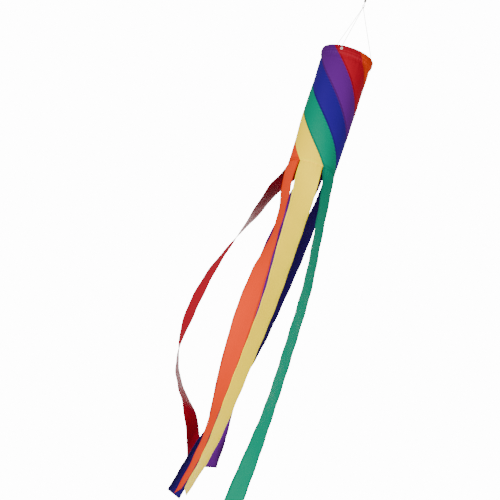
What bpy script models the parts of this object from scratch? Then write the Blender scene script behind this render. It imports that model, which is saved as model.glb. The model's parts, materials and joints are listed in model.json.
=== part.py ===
"""A garden windsock with six helical colour panels and six long ribbon tails.

It hangs by a spring clip and a barrel swivel from a bridle of three cords.
The frame's origin is the inside top of the clip's hook, where the clip bears on what
holds it. +Z is up, so the whole windsock hangs below the origin. Angles round the sock
are measured from the front (-Y) towards +X. All sizes are in metres.
"""
import math

import bmesh
import bpy
import numpy as np
from mathutils import Matrix, Vector

# sock
HOOP_RADIUS = 0.0726          # centre line of the hoop's rod
HOOP_ROD_RADIUS = 0.0012
ROD_CLEARANCE = 0.0018        # rod to the middle of the cloth folded round it
HOOP_STEPS = 48
ROD_JOINT = math.radians(-100)       # where the rod's two ends meet in their ferrule
FERRULE_WALL = 0.0004
FERRULE_HALF = 0.0045         # half of the ferrule's length
HEM_DEPTH = 0.025             # fabric folded inside over the hoop
HEM_DIP = 0.0006              # how far the outer layer draws in towards the hem's stitching
HEM_STITCH = 0.001            # neck below the hem's inner edge
NECK_IN = 0.0008              # cloth at the neck, inside the hoop's centre line
TAPER = 0.0042                # neck to bottom seam, in radius
SOCK_LENGTH = 0.360           # hoop plane to bottom seam
CLOTH = 0.0008                # thickness of the solids that stand for the cloth
TWIST = math.radians(245)     # turn of the panels from the rim to the bottom seam
PANEL_START = math.radians(-10)      # middle of the red panel at the hoop
SEAM_GAP = 0.0005
FOLD_POINTS = 6               # along the fold over the hoop
PANEL_COLUMNS = 6
TUBE_ROWS = 16

# tails
TAIL_LENGTH = 1.04
TAIL_NOTCH = 0.0018           # between neighbouring tails at the seam
TAIL_ROWS = 32
TAIL_FINE_STEPS = 5           # route steps measured along each row
TAIL_COLUMNS = 4
SEAM_BLEND = 0.09             # length over which a tail flattens below the round seam
ROUTE_RADIUS = 0.0676         # bottom seam's radius for which the routes below are given

# bridle
BRIDLE_RISE = 0.156           # hoop plane up to the point where the cords meet
CORD_RADIUS = 0.00075
EYELET_ANGLES = {"front": math.radians(-18), "right": math.radians(102), "left": math.radians(-138)}
EYELET_DROP = 0.008           # eyelet's centre below the hoop plane
EYELET_HOLE = 0.0017
EYELET_WALL = 0.0006
EYELET_FLANGE = 0.0040
EYELET_PLATE = 0.0006
EYELET_SEAT = 0.0006          # flange to the round cloth behind it
STOPPER_RADIUS = 0.0024
KNOT_RADIUS = 0.0026
LOOP_RADIUS = 0.0032
CORD_START = 0.0006           # cord's upper end outside the knot's clearance
CORD_BOW = 0.0012             # how far the cord stands off the hem where it turns in

# swivel and clip
EYE_RADIUS = 0.0036
EYE_WIRE = 0.0008
BARREL_RADIUS = 0.0032
BARREL_LENGTH = 0.011
BARREL_WALL = 0.0007
BARREL_SHOULDER = 0.0020      # rounded stretch at each end
SHANK_LENGTH = 0.0020         # from an eye's outer edge to the barrel
HEAD_RADIUS = 0.0019
HEAD_THICK = 0.0010
CLIP_WIRE = 0.0011
CLIP_BEND = 0.0055
CLIP_SPINE = 0.0196           # straight side of the clip between its two bends
FORK_WIDTH = 0.0050
FORK_SIZE = 0.0040
FORK_HEIGHT = 0.0056
FORK_DROP = 0.0008            # fork's middle below the gate's pin
SLOT_LIFT = 0.0002
GATE_BOSS = 0.0022
GATE_ARM = 0.0009
PIN_RADIUS = 0.0006
PIN_PROUD = 0.0004            # pin's length past the fork, both ends together
PIVOT_RISE = 0.0030           # gate's pin above the centre of the lower bend
NOSE_DROP = 0.0030            # straight end of the hook below the centre of the upper bend
NOSE_STUB = 0.0008            # straight end of the wire above the lower bend

GAP = 0.0003                  # clearance between pieces that touch

# heights worked out from the sizes above
CLIP_TOP = CLIP_WIRE                                    # centre of the clip's top bend
CLIP_BOTTOM = CLIP_TOP - 2 * CLIP_BEND - CLIP_SPINE     # centre of its bottom bend
UPPER_EYE = CLIP_BOTTOM + CLIP_WIRE + GAP + EYE_WIRE - EYE_RADIUS
BARREL_TOP = UPPER_EYE - EYE_RADIUS - EYE_WIRE - SHANK_LENGTH
BARREL_BASE = BARREL_TOP - BARREL_LENGTH
LOWER_EYE = BARREL_BASE - SHANK_LENGTH - EYE_WIRE - EYE_RADIUS
LOOP_TOP = LOWER_EYE - EYE_RADIUS + EYE_WIRE + GAP + CORD_RADIUS
LOOP_CENTRE = LOOP_TOP - LOOP_RADIUS
KNOT_CENTRE = LOOP_CENTRE - LOOP_RADIUS - KNOT_RADIUS * 0.8
HOOP_PLANE = KNOT_CENTRE - BRIDLE_RISE
SEAM_HEIGHT = HOOP_PLANE - SOCK_LENGTH
PIVOT_HEIGHT = CLIP_BOTTOM + CLIP_BEND + PIVOT_RISE
NOSE_HEIGHT = CLIP_TOP - CLIP_BEND - NOSE_DROP

PANELS = ["red", "orange", "yellow", "green", "blue", "purple"]
HALF_PANEL = math.pi / len(PANELS)

# radii and widths worked out from the sizes above
FOLD_RADIUS = HOOP_ROD_RADIUS + ROD_CLEARANCE           # cloth's middle round the hoop
NECK_RADIUS = HOOP_RADIUS - NECK_IN
BOTTOM_RADIUS = NECK_RADIUS - TAPER
TAIL_WIDTH = 2 * HALF_PANEL * BOTTOM_RADIUS - TAIL_NOTCH
HINGE_RADIUS = BOTTOM_RADIUS + CLOTH / 2                # a tail lifts about the seam's outer face

PAINT = {
    "red": (0.45, 0.012, 0.022),
    "orange": (0.72, 0.090, 0.030),
    "yellow": (0.82, 0.66, 0.20),
    "green": (0.005, 0.33, 0.175),
    "blue": (0.030, 0.028, 0.33),
    "purple": (0.15, 0.035, 0.33),
}

# Route of each tail: share of its length, right (x), back (y), and the way its outer face
# looks in degrees. The height follows from the length of ribbon used. The ribbons bow and
# cross as they do when a light breeze lifts them.
TAIL_ROUTES = {
    "yellow": [
        (0.12, 0.000, -0.068, 24), (0.25, 0.001, -0.068, 36), (0.40, 0.001, -0.067, 50),
        (0.55, -0.008, -0.066, 56), (0.70, -0.018, -0.065, 60), (0.82, -0.028, -0.064, 67),
        (0.91, -0.042, -0.062, 74), (1.00, -0.062, -0.062, 80),
    ],
    "orange": [
        (0.14, -0.045, -0.034, -75), (0.22, -0.043, -0.036, -74), (0.33, -0.051, -0.040, -50),
        (0.46, -0.054, -0.042, -32), (0.60, -0.053, -0.043, -44), (0.78, -0.051, -0.043, -72),
        (0.90, -0.062, -0.043, -72), (1.00, -0.082, -0.044, -76),
    ],
    "green": [
        (0.06, 0.060, -0.042, 62), (0.20, 0.075, -0.050, 66), (0.35, 0.090, -0.054, 65),
        (0.55, 0.093, -0.058, 64), (0.72, 0.091, -0.061, 62), (0.84, 0.085, -0.065, 52),
        (0.92, 0.079, -0.067, 45), (1.00, 0.073, -0.069, 40),
    ],
    "blue": [
        (0.10, 0.048, 0.033, 117), (0.25, 0.037, 0.046, 120), (0.40, 0.020, 0.052, 120),
        (0.55, 0.000, 0.052, 118), (0.68, -0.022, 0.049, 95), (0.80, -0.048, 0.043, 65),
        (0.90, -0.070, 0.038, 56), (1.00, -0.091, 0.031, 55),
    ],
    "purple": [
        (0.07, -0.004, 0.112, 172), (0.14, -0.014, 0.156, 170), (0.22, -0.024, 0.120, 168),
        (0.30, -0.030, 0.079, 166), (0.385, -0.037, 0.121, 165), (0.47, -0.044, 0.167, 164),
        (0.555, -0.048, 0.138, 162), (0.64, -0.047, 0.111, 161), (0.72, -0.041, 0.151, 160),
        (0.80, -0.033, 0.193, 157), (0.88, -0.027, 0.154, 148), (0.94, -0.024, 0.122, 141),
        (1.00, -0.024, 0.136, 138),
    ],
    "red": [
        (0.08, -0.086, 0.070, -112), (0.16, -0.113, 0.109, -104), (0.26, -0.150, 0.152, -88),
        (0.36, -0.182, 0.186, -77), (0.46, -0.200, 0.206, -71), (0.54, -0.204, 0.208, -77),
        (0.61, -0.200, 0.194, -94), (0.69, -0.184, 0.158, -108), (0.77, -0.154, 0.114, -120),
        (0.84, -0.119, 0.084, -132), (0.91, -0.088, 0.108, -132), (0.96, -0.075, 0.138, -122),
        (1.00, -0.070, 0.162, -112),
    ],
}


def clear_scene():
    for item in list(bpy.data.objects):
        bpy.data.objects.remove(item, do_unlink=True)


def make_collection(name):
    collection = bpy.data.collections.new(name)
    bpy.context.scene.collection.children.link(collection)
    return collection


def make_material(name, colour, roughness, metallic=0.0):
    finish = bpy.data.materials.new(name)
    finish.use_nodes = True
    shader = finish.node_tree.nodes["Principled BSDF"]
    shader.inputs["Base Color"].default_value = (*colour, 1.0)
    shader.inputs["Roughness"].default_value = roughness
    shader.inputs["Metallic"].default_value = metallic
    return finish


def add_object(name, mesh, finish, collection):
    item = bpy.data.objects.new(name, mesh)
    if finish:
        mesh.materials.append(finish)
    collection.objects.link(item)
    return item


def from_bmesh(name, bm, finish, collection):
    mesh = bpy.data.meshes.new(name)
    bm.to_mesh(mesh)
    bm.free()
    return add_object(name, mesh, finish, collection)


def around(angle, radius, height):
    """Point at an angle round the sock's axis."""
    return Vector((radius * math.sin(angle), -radius * math.cos(angle), height))


def outward(angle):
    return around(angle, 1.0, 0.0)


def facing(direction):
    """Rotation that takes +Z to a direction."""
    return Vector(direction).to_track_quat("Z", "Y").to_matrix().to_4x4()


def add_pivot(name, place, axis, pieces, parent, collection):
    """An empty on a joint's axis, its Z along the axis, that carries the pieces turning there."""
    pivot = bpy.data.objects.new(name, None)
    pivot.matrix_world = Matrix.Translation(place) @ facing(axis)
    collection.objects.link(pivot)
    bpy.context.view_layer.update()
    for piece in pieces:
        hang_from(piece, pivot)
    if parent:
        hang_from(pivot, parent)
    return pivot


def hang_from(item, parent):
    """Parents item and leaves it where it is."""
    item.parent = parent
    item.matrix_parent_inverse = parent.matrix_world.inverted()
    bpy.context.view_layer.update()


def cloth_sheet(name, columns, rows, place, finish, collection):
    """A grid whose columns and rows run 0 to 1, put in place by a function, as thick cloth."""
    bm = bmesh.new()
    bmesh.ops.create_grid(bm, x_segments=columns, y_segments=rows, size=0.5)
    for vertex in bm.verts:
        vertex.co = place(vertex.co.x + 0.5, vertex.co.y + 0.5)
    bmesh.ops.recalc_face_normals(bm, faces=bm.faces)
    item = from_bmesh(name, bm, finish, collection)
    wall = item.modifiers.new("cloth", "SOLIDIFY")
    wall.thickness = CLOTH
    wall.offset = 0.0
    return item


def tube(name, points, radius, finish, collection):
    """A wire, rod or cord along points."""
    curve = bpy.data.curves.new(name, "CURVE")
    curve.dimensions = "3D"
    curve.bevel_depth = radius
    curve.bevel_resolution = 2
    curve.use_fill_caps = True
    spline = curve.splines.new("POLY")
    spline.points.add(len(points) - 1)
    for point, place in zip(spline.points, points):
        point.co = (*place, 1.0)
    return add_object(name, curve, finish, collection)


def as_mesh(item, collection):
    """Replaces a curve object by its mesh, with the caps welded on."""
    evaluated = item.evaluated_get(bpy.context.evaluated_depsgraph_get())
    mesh = bpy.data.meshes.new_from_object(evaluated)
    bm = bmesh.new()
    bm.from_mesh(mesh)
    bmesh.ops.remove_doubles(bm, verts=bm.verts, dist=0.00001)
    bm.to_mesh(mesh)
    bm.free()
    name = item.name
    place = item.matrix_world.copy()
    bpy.data.objects.remove(item, do_unlink=True)
    solid = bpy.data.objects.new(name, mesh)
    solid.matrix_world = place
    collection.objects.link(solid)
    return solid


def cylinder(name, radius, length, middle, direction, finish, collection, sides=24):
    bm = bmesh.new()
    bmesh.ops.create_cone(
        bm, cap_ends=True, segments=sides, radius1=radius, radius2=radius, depth=length,
        matrix=Matrix.Translation(middle) @ facing(direction),
    )
    return from_bmesh(name, bm, finish, collection)


def box(name, size, middle, finish, collection):
    bm = bmesh.new()
    bmesh.ops.create_cube(bm, size=1.0)
    bmesh.ops.scale(bm, vec=size, verts=bm.verts)
    bmesh.ops.translate(bm, vec=middle, verts=bm.verts)
    return from_bmesh(name, bm, finish, collection)


def ball(name, radii, middle, finish, collection):
    bm = bmesh.new()
    bmesh.ops.create_uvsphere(bm, u_segments=14, v_segments=9, radius=1.0)
    bmesh.ops.scale(bm, vec=radii, verts=bm.verts)
    bmesh.ops.translate(bm, vec=middle, verts=bm.verts)
    return from_bmesh(name, bm, finish, collection)


def ring(name, radius, wire, middle, normal, finish, collection, steps=20):
    """A closed round wire, as a section turned about the ring's own axis."""
    section = [
        (radius + wire * math.cos(a), wire * math.sin(a))
        for a in np.linspace(0, -2 * math.pi, 9)[:-1]
    ]
    place = Matrix.Translation(middle) @ facing(normal)
    return turned(name, section, place, finish, collection, steps, True)


def turned(name, profile, place, finish, collection, steps=24, closed=False):
    """A profile of (radius, height) points, running down its outer side, turned about Z."""
    count = len(profile)
    edges = [(i, i + 1) for i in range(count - 1)]
    if closed:
        edges.append((count - 1, 0))
    mesh = bpy.data.meshes.new(name)
    mesh.from_pydata([(r, 0.0, z) for r, z in profile], edges, [])
    item = add_object(name, mesh, finish, collection)
    item.matrix_world = place
    screw = item.modifiers.new("turned", "SCREW")
    screw.steps = steps
    screw.render_steps = steps
    screw.use_merge_vertices = True
    screw.merge_threshold = 0.00001
    return item


def hide_tool(item):
    item.hide_render = True
    item.display_type = "WIRE"
    return item


def combine(item, tool, operation):
    """Joins a helper solid to item or cuts it away."""
    hide_tool(tool)
    step = item.modifiers.new(operation.lower(), "BOOLEAN")
    step.operation = operation
    step.object = tool


def smooth_route(stations, shares):
    """Values at shares along stations: cubics through each one, level at the first."""
    knots = np.array([s[0] for s in stations])
    values = np.array([s[1:] for s in stations])
    slopes = np.zeros_like(values)
    spans = (knots[2:] - knots[:-2])[:, None]
    slopes[1:-1] = (values[2:] - values[:-2]) / spans
    slopes[-1] = (values[-1] - values[-2]) / (knots[-1] - knots[-2])
    left = np.clip(np.searchsorted(knots, shares, side="right") - 1, 0, len(knots) - 2)
    width = (knots[left + 1] - knots[left])[:, None]
    t = (np.asarray(shares)[:, None] - knots[left][:, None]) / width
    return (
        (2 * t**3 - 3 * t**2 + 1) * values[left]
        + (t**3 - 2 * t**2 + t) * width * slopes[left]
        + (3 * t**2 - 2 * t**3) * values[left + 1]
        + (t**3 - t**2) * width * slopes[left + 1]
    )


def cloth_path():
    """(radius, drop below the hoop) of the cloth, from its inner edge over the hoop to the seam,
    and the number of the point where the fold over the hoop starts."""
    inner = HOOP_RADIUS - FOLD_RADIUS
    outer = HOOP_RADIUS + FOLD_RADIUS
    inner_edge = NECK_RADIUS - CLOTH - SEAM_GAP
    path = [(inner_edge, HEM_DEPTH), (inner_edge, 0.8 * HEM_DEPTH), (inner, 0.3 * HEM_DEPTH)]
    fold_start = len(path)
    path += [
        (HOOP_RADIUS - FOLD_RADIUS * math.cos(a), -FOLD_RADIUS * math.sin(a))
        for a in np.linspace(0, math.pi, FOLD_POINTS)
    ]
    path += [(outer, 0.4 * HEM_DEPTH), (outer - HEM_DIP, 0.76 * HEM_DEPTH)]
    neck = HEM_DEPTH + HEM_STITCH
    for step in range(TUBE_ROWS + 1):
        share = step / TUBE_ROWS
        radius = NECK_RADIUS + (BOTTOM_RADIUS - NECK_RADIUS) * share
        path.append((radius, neck + (SOCK_LENGTH - neck) * share))
    return path, fold_start


def panel_angle(index):
    """Middle of a panel at the hoop."""
    return PANEL_START + index * 2 * HALF_PANEL


def make_panels(finishes, collection):
    path, fold_start = cloth_path()
    steps = [0.0]
    for (r0, d0), (r1, d1) in zip(path, path[1:]):
        steps.append(steps[-1] + math.hypot(r1 - r0, d1 - d0))
    rim = (steps[fold_start] + steps[fold_start + FOLD_POINTS - 1]) / 2
    slope = TWIST / (steps[-1] - rim)
    panels = []
    for index, colour in enumerate(PANELS):
        middle = panel_angle(index)

        def place(across, along):
            row = round(along * (len(path) - 1))
            radius, drop = path[row]
            half = HALF_PANEL - SEAM_GAP / 2 / radius
            angle = middle + slope * (steps[row] - rim) + (2 * across - 1) * half
            return around(angle, radius, HOOP_PLANE - drop)

        panel = cloth_sheet(
            f"panel_{colour}", PANEL_COLUMNS, len(path) - 1, place, finishes[colour], collection
        )
        panels.append(panel)
    return panels


def seam_angle(colour):
    """Middle of a colour's panel and tail at the bottom seam."""
    return panel_angle(PANELS.index(colour)) + TWIST


def seam_point(colour, radius):
    """Middle of a colour's seam, at a radius."""
    return around(seam_angle(colour), radius, SEAM_HEIGHT)


def make_tail(colour, finish, collection):
    start_angle = seam_angle(colour)
    turns = round((math.degrees(start_angle) - TAIL_ROUTES[colour][0][3]) / 360)
    start = seam_point(colour, BOTTOM_RADIUS)
    spread = BOTTOM_RADIUS / ROUTE_RADIUS
    stations = [(0.0, start.x, start.y, math.degrees(start_angle) - 360 * turns)]
    stations += [(share, x * spread, y * spread, face) for share, x, y, face in TAIL_ROUTES[colour]]
    shares = np.linspace(0, 1, TAIL_ROWS * TAIL_FINE_STEPS + 1)
    route = smooth_route(stations, shares)
    used = TAIL_LENGTH / (len(shares) - 1)
    sideways = np.hypot(*np.diff(route[:, :2], axis=0).T)
    falls = np.sqrt(np.maximum(used**2 - sideways**2, 0))
    drops = np.concatenate([[0], np.cumsum(falls)])

    def place(across, along):
        row = round(along * TAIL_ROWS) * TAIL_FINE_STEPS
        x, y, face = route[row]
        face = math.radians(face)
        offset = (across - 0.5) * TAIL_WIDTH
        round_share = max(0.0, 1 - along * TAIL_LENGTH / SEAM_BLEND) ** 2
        bend = offset / BOTTOM_RADIUS
        sideways = offset + round_share * BOTTOM_RADIUS * (math.sin(bend) - bend)
        inward = round_share * BOTTOM_RADIUS * (1 - math.cos(bend))
        along_width = Vector((math.cos(face), math.sin(face), 0))
        spot = Vector((x, y, SEAM_HEIGHT - GAP - drops[row]))
        return spot + along_width * sideways - outward(face) * inward

    return cloth_sheet(f"tail_{colour}", TAIL_COLUMNS, TAIL_ROWS, place, finish, collection)


def make_hoop(rod_finish, metal, collection):
    half_gap = GAP / 2 / HOOP_RADIUS
    ends = (ROD_JOINT + half_gap, ROD_JOINT + 2 * math.pi - half_gap)
    points = [around(a, HOOP_RADIUS, HOOP_PLANE) for a in np.linspace(*ends, HOOP_STEPS + 1)]
    rod = tube("hoop_rod", points, HOOP_ROD_RADIUS, rod_finish, collection)
    inner = HOOP_ROD_RADIUS + GAP
    outer = inner + FERRULE_WALL
    profile = [
        (outer, FERRULE_HALF), (outer, -FERRULE_HALF), (inner, -FERRULE_HALF), (inner, FERRULE_HALF),
    ]
    along_rod = (math.cos(ROD_JOINT), math.sin(ROD_JOINT), 0)
    place = Matrix.Translation(around(ROD_JOINT, HOOP_RADIUS, HOOP_PLANE)) @ facing(along_rod)
    ferrule = turned("hoop_ferrule", profile, place, metal, collection, 20, True)
    return [rod, ferrule]


def make_eyelet(name, angle, panels, finish, collection, tools):
    """A rolled ring through both layers of the hem, with the hole that it needs cut in them."""
    inner_face = HOOP_RADIUS - FOLD_RADIUS - CLOTH / 2 - EYELET_SEAT
    outer_face = HOOP_RADIUS + FOLD_RADIUS + CLOTH / 2 + GAP
    barrel = EYELET_HOLE + EYELET_WALL
    profile = [
        (EYELET_FLANGE, outer_face + EYELET_PLATE),
        (EYELET_FLANGE, outer_face),
        (barrel, outer_face),
        (barrel, inner_face),
        (EYELET_FLANGE, inner_face),
        (EYELET_FLANGE, inner_face - EYELET_PLATE),
        (EYELET_HOLE, inner_face - EYELET_PLATE),
        (EYELET_HOLE, outer_face + EYELET_PLATE),
    ]
    place = Matrix.Translation((0, 0, HOOP_PLANE - EYELET_DROP)) @ facing(outward(angle))
    eyelet = turned(name, profile, place, finish, collection, 20, True)
    middle = around(angle, HOOP_RADIUS, HOOP_PLANE - EYELET_DROP)
    cutter = cylinder(
        f"{name}_hole", barrel + GAP, 4 * FOLD_RADIUS, middle, outward(angle), None, tools, 20
    )
    for panel in panels:
        combine(panel, cutter, "DIFFERENCE")
    return eyelet


def bridle_route():
    """(radius, height above the hoop plane) of a cord from the knot, over the rim, to the inside."""
    clear = FOLD_RADIUS + CLOTH / 2 + GAP + CORD_RADIUS
    lean = math.atan2(HOOP_RADIUS, BRIDLE_RISE)
    start = KNOT_RADIUS + GAP + CORD_START
    top = (start * math.sin(lean), BRIDLE_RISE - start * math.cos(lean))
    over = [
        (HOOP_RADIUS + clear * math.cos(a), clear * math.sin(a))
        for a in np.linspace(lean, -math.radians(12), 5)
    ]
    turn = 4 * CORD_RADIUS
    middle = (HOOP_RADIUS + clear + CORD_BOW - turn, turn - EYELET_DROP)
    into = [
        (middle[0] + turn * math.cos(a), middle[1] - turn * math.sin(a))
        for a in np.linspace(math.radians(8), math.radians(90), 6)
    ]
    inside = HOOP_RADIUS - FOLD_RADIUS - CLOTH / 2 - EYELET_SEAT - EYELET_PLATE
    straight = [
        (top[0] + (over[0][0] - top[0]) * share, top[1] + (over[0][1] - top[1]) * share)
        for share in np.linspace(0, 1, 7)[:-1]
    ]
    return straight + over + into + [(inside, -EYELET_DROP)]


def make_bridle(finish, collection, tools):
    route = bridle_route()
    pieces = []
    for name, angle in EYELET_ANGLES.items():
        points = [around(angle, r, HOOP_PLANE + h) for r, h in route]
        pieces.append(tube(f"bridle_line_{name}", points, CORD_RADIUS, finish, collection))
        end = route[-1][0] - GAP - STOPPER_RADIUS
        size = (STOPPER_RADIUS, STOPPER_RADIUS, STOPPER_RADIUS * 0.85)
        middle = around(angle, end, HOOP_PLANE - EYELET_DROP)
        pieces.append(ball(f"stopper_knot_{name}", size, middle, finish, collection))
    size = (KNOT_RADIUS * 0.9, KNOT_RADIUS * 0.9, KNOT_RADIUS)
    knot = ball("bridle_knot", size, (0, 0, KNOT_CENTRE), finish, collection)
    centre = (0, 0, LOOP_CENTRE)
    loop = ring("bridle_loop_tool", LOOP_RADIUS, CORD_RADIUS, centre, (0, 1, 0), None, tools)
    combine(knot, loop, "UNION")
    return pieces + [knot]


def make_swivel(metal, collection, tools):
    ends = {
        "swivel_upper_eye": (UPPER_EYE, BARREL_TOP, -1),
        "swivel_lower_eye": (LOWER_EYE, BARREL_BASE, 1),
    }
    up = (0, 0, 1)
    eyes = []
    for name, (middle, mouth, way) in ends.items():
        eye = ring(name, EYE_RADIUS, EYE_WIRE, (0, 0, middle), (1, 0, 0), metal, collection)
        head = mouth + way * (BARREL_WALL + GAP + HEAD_THICK / 2)
        top = middle + way * EYE_RADIUS
        length = abs(top - head)
        centre = (0, 0, (top + head) / 2)
        shank = cylinder(f"{name}_shank", EYE_WIRE, length, centre, up, None, tools, 16)
        disc = cylinder(f"{name}_head", HEAD_RADIUS, HEAD_THICK, (0, 0, head), up, None, tools, 16)
        combine(eye, shank, "UNION")
        combine(eye, disc, "UNION")
        eyes.append(eye)
    hole = EYE_WIRE + GAP
    inside = BARREL_RADIUS - BARREL_WALL
    waist = BARREL_RADIUS * 0.8
    full_top = BARREL_TOP - BARREL_SHOULDER
    full_base = BARREL_BASE + BARREL_SHOULDER
    profile = [
        (waist, BARREL_TOP), (BARREL_RADIUS, full_top), (BARREL_RADIUS, full_base),
        (waist, BARREL_BASE), (hole, BARREL_BASE), (hole, BARREL_BASE + BARREL_WALL),
        (inside, BARREL_BASE + BARREL_WALL), (inside, BARREL_TOP - BARREL_WALL),
        (hole, BARREL_TOP - BARREL_WALL), (hole, BARREL_TOP),
    ]
    barrel = turned("swivel_barrel", profile, Matrix.Identity(4), metal, collection, 20, True)
    return eyes[0], barrel, eyes[1]


def half_turn(height, way):
    """Points of one of the clip's round ends; way is 1 over the top and -1 under the bottom."""
    angles = np.linspace(0, math.pi, 13)
    return [
        (way * CLIP_BEND * math.cos(a), 0, height + way * CLIP_BEND * math.sin(a)) for a in angles
    ]


def make_clip(metal, collection, tools):
    upper = CLIP_TOP - CLIP_BEND
    lower = CLIP_BOTTOM + CLIP_BEND
    points = [(CLIP_BEND, 0, NOSE_HEIGHT)] + half_turn(upper, 1) + half_turn(lower, -1)
    points.append((CLIP_BEND, 0, lower + NOSE_STUB))
    hook = as_mesh(tube("clip_hook", points, CLIP_WIRE, None, collection), collection)
    hook.data.materials.append(metal)
    pivot = (CLIP_BEND, 0, PIVOT_HEIGHT)
    across = (0, 1, 0)
    fork_middle = (CLIP_BEND, 0, PIVOT_HEIGHT - FORK_DROP)
    fork = box("clip_fork_tool", (FORK_SIZE, FORK_WIDTH, FORK_HEIGHT), fork_middle, None, tools)
    slot_size = (2 * FORK_SIZE, GATE_BOSS + 2 * GAP, FORK_HEIGHT)
    slot_height = PIVOT_HEIGHT - FORK_SIZE / 2 + FORK_HEIGHT / 2 + SLOT_LIFT
    slot = box("clip_slot_tool", slot_size, (CLIP_BEND, 0, slot_height), None, tools)
    pin_hole = PIN_RADIUS + GAP / 2
    bore = cylinder("clip_bore_tool", pin_hole, 2 * FORK_WIDTH, pivot, across, None, tools)
    combine(hook, fork, "UNION")
    combine(hook, slot, "DIFFERENCE")
    combine(hook, bore, "DIFFERENCE")
    boss = FORK_SIZE / 2 - GAP
    gate = cylinder("clip_gate", boss, GATE_BOSS, pivot, across, metal, collection, 20)
    top = NOSE_HEIGHT - GAP
    arm_middle = (CLIP_BEND, 0, (top + PIVOT_HEIGHT) / 2)
    arm = cylinder(
        "gate_arm_tool", GATE_ARM, top - PIVOT_HEIGHT, arm_middle, (0, 0, 1), None, tools, 16
    )
    gate_bore = cylinder("gate_bore_tool", pin_hole, 2 * FORK_WIDTH, pivot, across, None, tools)
    combine(gate, arm, "UNION")
    combine(gate, gate_bore, "DIFFERENCE")
    cylinder("gate_pin", PIN_RADIUS, FORK_WIDTH + PIN_PROUD, pivot, across, metal, collection)
    return gate


def main():
    clear_scene()
    windsock = make_collection("windsock")
    tools = make_collection("cutters")
    finishes = {name: make_material(f"{name}_woven_nylon", PAINT[name], 0.55) for name in PANELS}
    white_cord = make_material("white_braided_cord", (0.82, 0.82, 0.80), 0.7)
    white_enamel = make_material("white_enamelled_eyelet", (0.80, 0.80, 0.78), 0.35)
    hoop_plastic = make_material("white_plastic_rod", (0.75, 0.75, 0.72), 0.45)
    nickel = make_material("nickel_plated_steel", (0.62, 0.60, 0.57), 0.25, 1.0)

    panels = make_panels(finishes, windsock)
    tails = {colour: make_tail(colour, finishes[colour], windsock) for colour in PANELS}
    sock = panels + make_hoop(hoop_plastic, nickel, windsock)
    for name, angle in EYELET_ANGLES.items():
        sock.append(make_eyelet(f"eyelet_{name}", angle, panels, white_enamel, windsock, tools))
    sock += make_bridle(white_cord, windsock, tools)
    upper_eye, barrel, lower_eye = make_swivel(nickel, windsock, tools)
    gate = make_clip(nickel, windsock, tools)

    # joints, from the clip down
    add_pivot("gate_pivot", (CLIP_BEND, 0, PIVOT_HEIGHT), (0, -1, 0), [gate], None, windsock)
    eye_pivot = add_pivot(
        "upper_eye_pivot", (0, 0, CLIP_BOTTOM), (1, 0, 0), [upper_eye], None, windsock
    )
    spin = (0, 0, (BARREL_TOP + BARREL_BASE) / 2)
    barrel_pivot = add_pivot("barrel_pivot", spin, (0, 0, 1), [barrel], eye_pivot, windsock)
    lower_pivot = add_pivot(
        "lower_eye_pivot", spin, (0, 0, 1), [lower_eye], barrel_pivot, windsock
    )
    hang = (0, 0, LOWER_EYE - EYE_RADIUS)
    bridle_pivot = add_pivot("bridle_pivot", hang, (0, 1, 0), sock, lower_pivot, windsock)
    for colour, tail in tails.items():
        angle = seam_angle(colour)
        axis = (-math.cos(angle), -math.sin(angle), 0)
        place = seam_point(colour, HINGE_RADIUS)
        add_pivot(f"{colour}_tail_pivot", place, axis, [tail], bridle_pivot, windsock)


main()
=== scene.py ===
"""Looks of a hanging garden windsock: spiral colour panels, ribbon tails, cords and small hardware.

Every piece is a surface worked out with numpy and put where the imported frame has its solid.
Angles round the sock run from the front (-Y) towards +X. All sizes are in metres.
"""

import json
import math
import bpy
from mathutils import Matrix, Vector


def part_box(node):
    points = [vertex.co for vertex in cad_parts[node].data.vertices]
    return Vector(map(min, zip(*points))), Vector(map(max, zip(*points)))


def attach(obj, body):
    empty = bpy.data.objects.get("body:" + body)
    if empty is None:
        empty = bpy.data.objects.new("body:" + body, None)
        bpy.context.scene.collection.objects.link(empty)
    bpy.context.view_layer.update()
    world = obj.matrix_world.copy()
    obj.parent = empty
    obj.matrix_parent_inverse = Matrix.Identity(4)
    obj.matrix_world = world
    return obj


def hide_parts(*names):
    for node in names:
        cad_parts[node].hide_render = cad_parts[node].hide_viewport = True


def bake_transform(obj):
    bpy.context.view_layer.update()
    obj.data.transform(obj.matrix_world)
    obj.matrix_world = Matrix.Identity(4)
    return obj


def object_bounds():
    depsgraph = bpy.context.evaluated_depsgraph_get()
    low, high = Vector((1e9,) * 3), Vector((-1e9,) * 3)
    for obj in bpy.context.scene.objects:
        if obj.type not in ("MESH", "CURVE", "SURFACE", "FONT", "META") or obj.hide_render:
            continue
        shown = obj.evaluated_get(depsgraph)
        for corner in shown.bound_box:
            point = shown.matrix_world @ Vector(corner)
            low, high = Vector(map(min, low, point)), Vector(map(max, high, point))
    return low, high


bl_info = {
    "name": "Garden Windsock",
    "version": (1, 0, 0),
    "blender": (4, 5, 0),
    "location": "View3D > Sidebar > Windsock",
    "description": "Builds the cloth, ribbons, cords and small hardware of a hanging garden windsock",
    "category": "Object",
}

import bpy
import numpy as np
from mathutils import Matrix

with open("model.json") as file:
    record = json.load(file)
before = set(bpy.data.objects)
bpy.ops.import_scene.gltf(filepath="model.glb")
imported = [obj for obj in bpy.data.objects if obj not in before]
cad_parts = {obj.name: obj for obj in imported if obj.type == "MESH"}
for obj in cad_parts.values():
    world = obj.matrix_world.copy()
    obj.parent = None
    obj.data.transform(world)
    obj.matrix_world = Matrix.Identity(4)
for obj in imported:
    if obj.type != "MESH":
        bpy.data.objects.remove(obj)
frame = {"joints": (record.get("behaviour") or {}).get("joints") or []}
CAD_BOX = [list(corner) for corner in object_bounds()]

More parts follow.
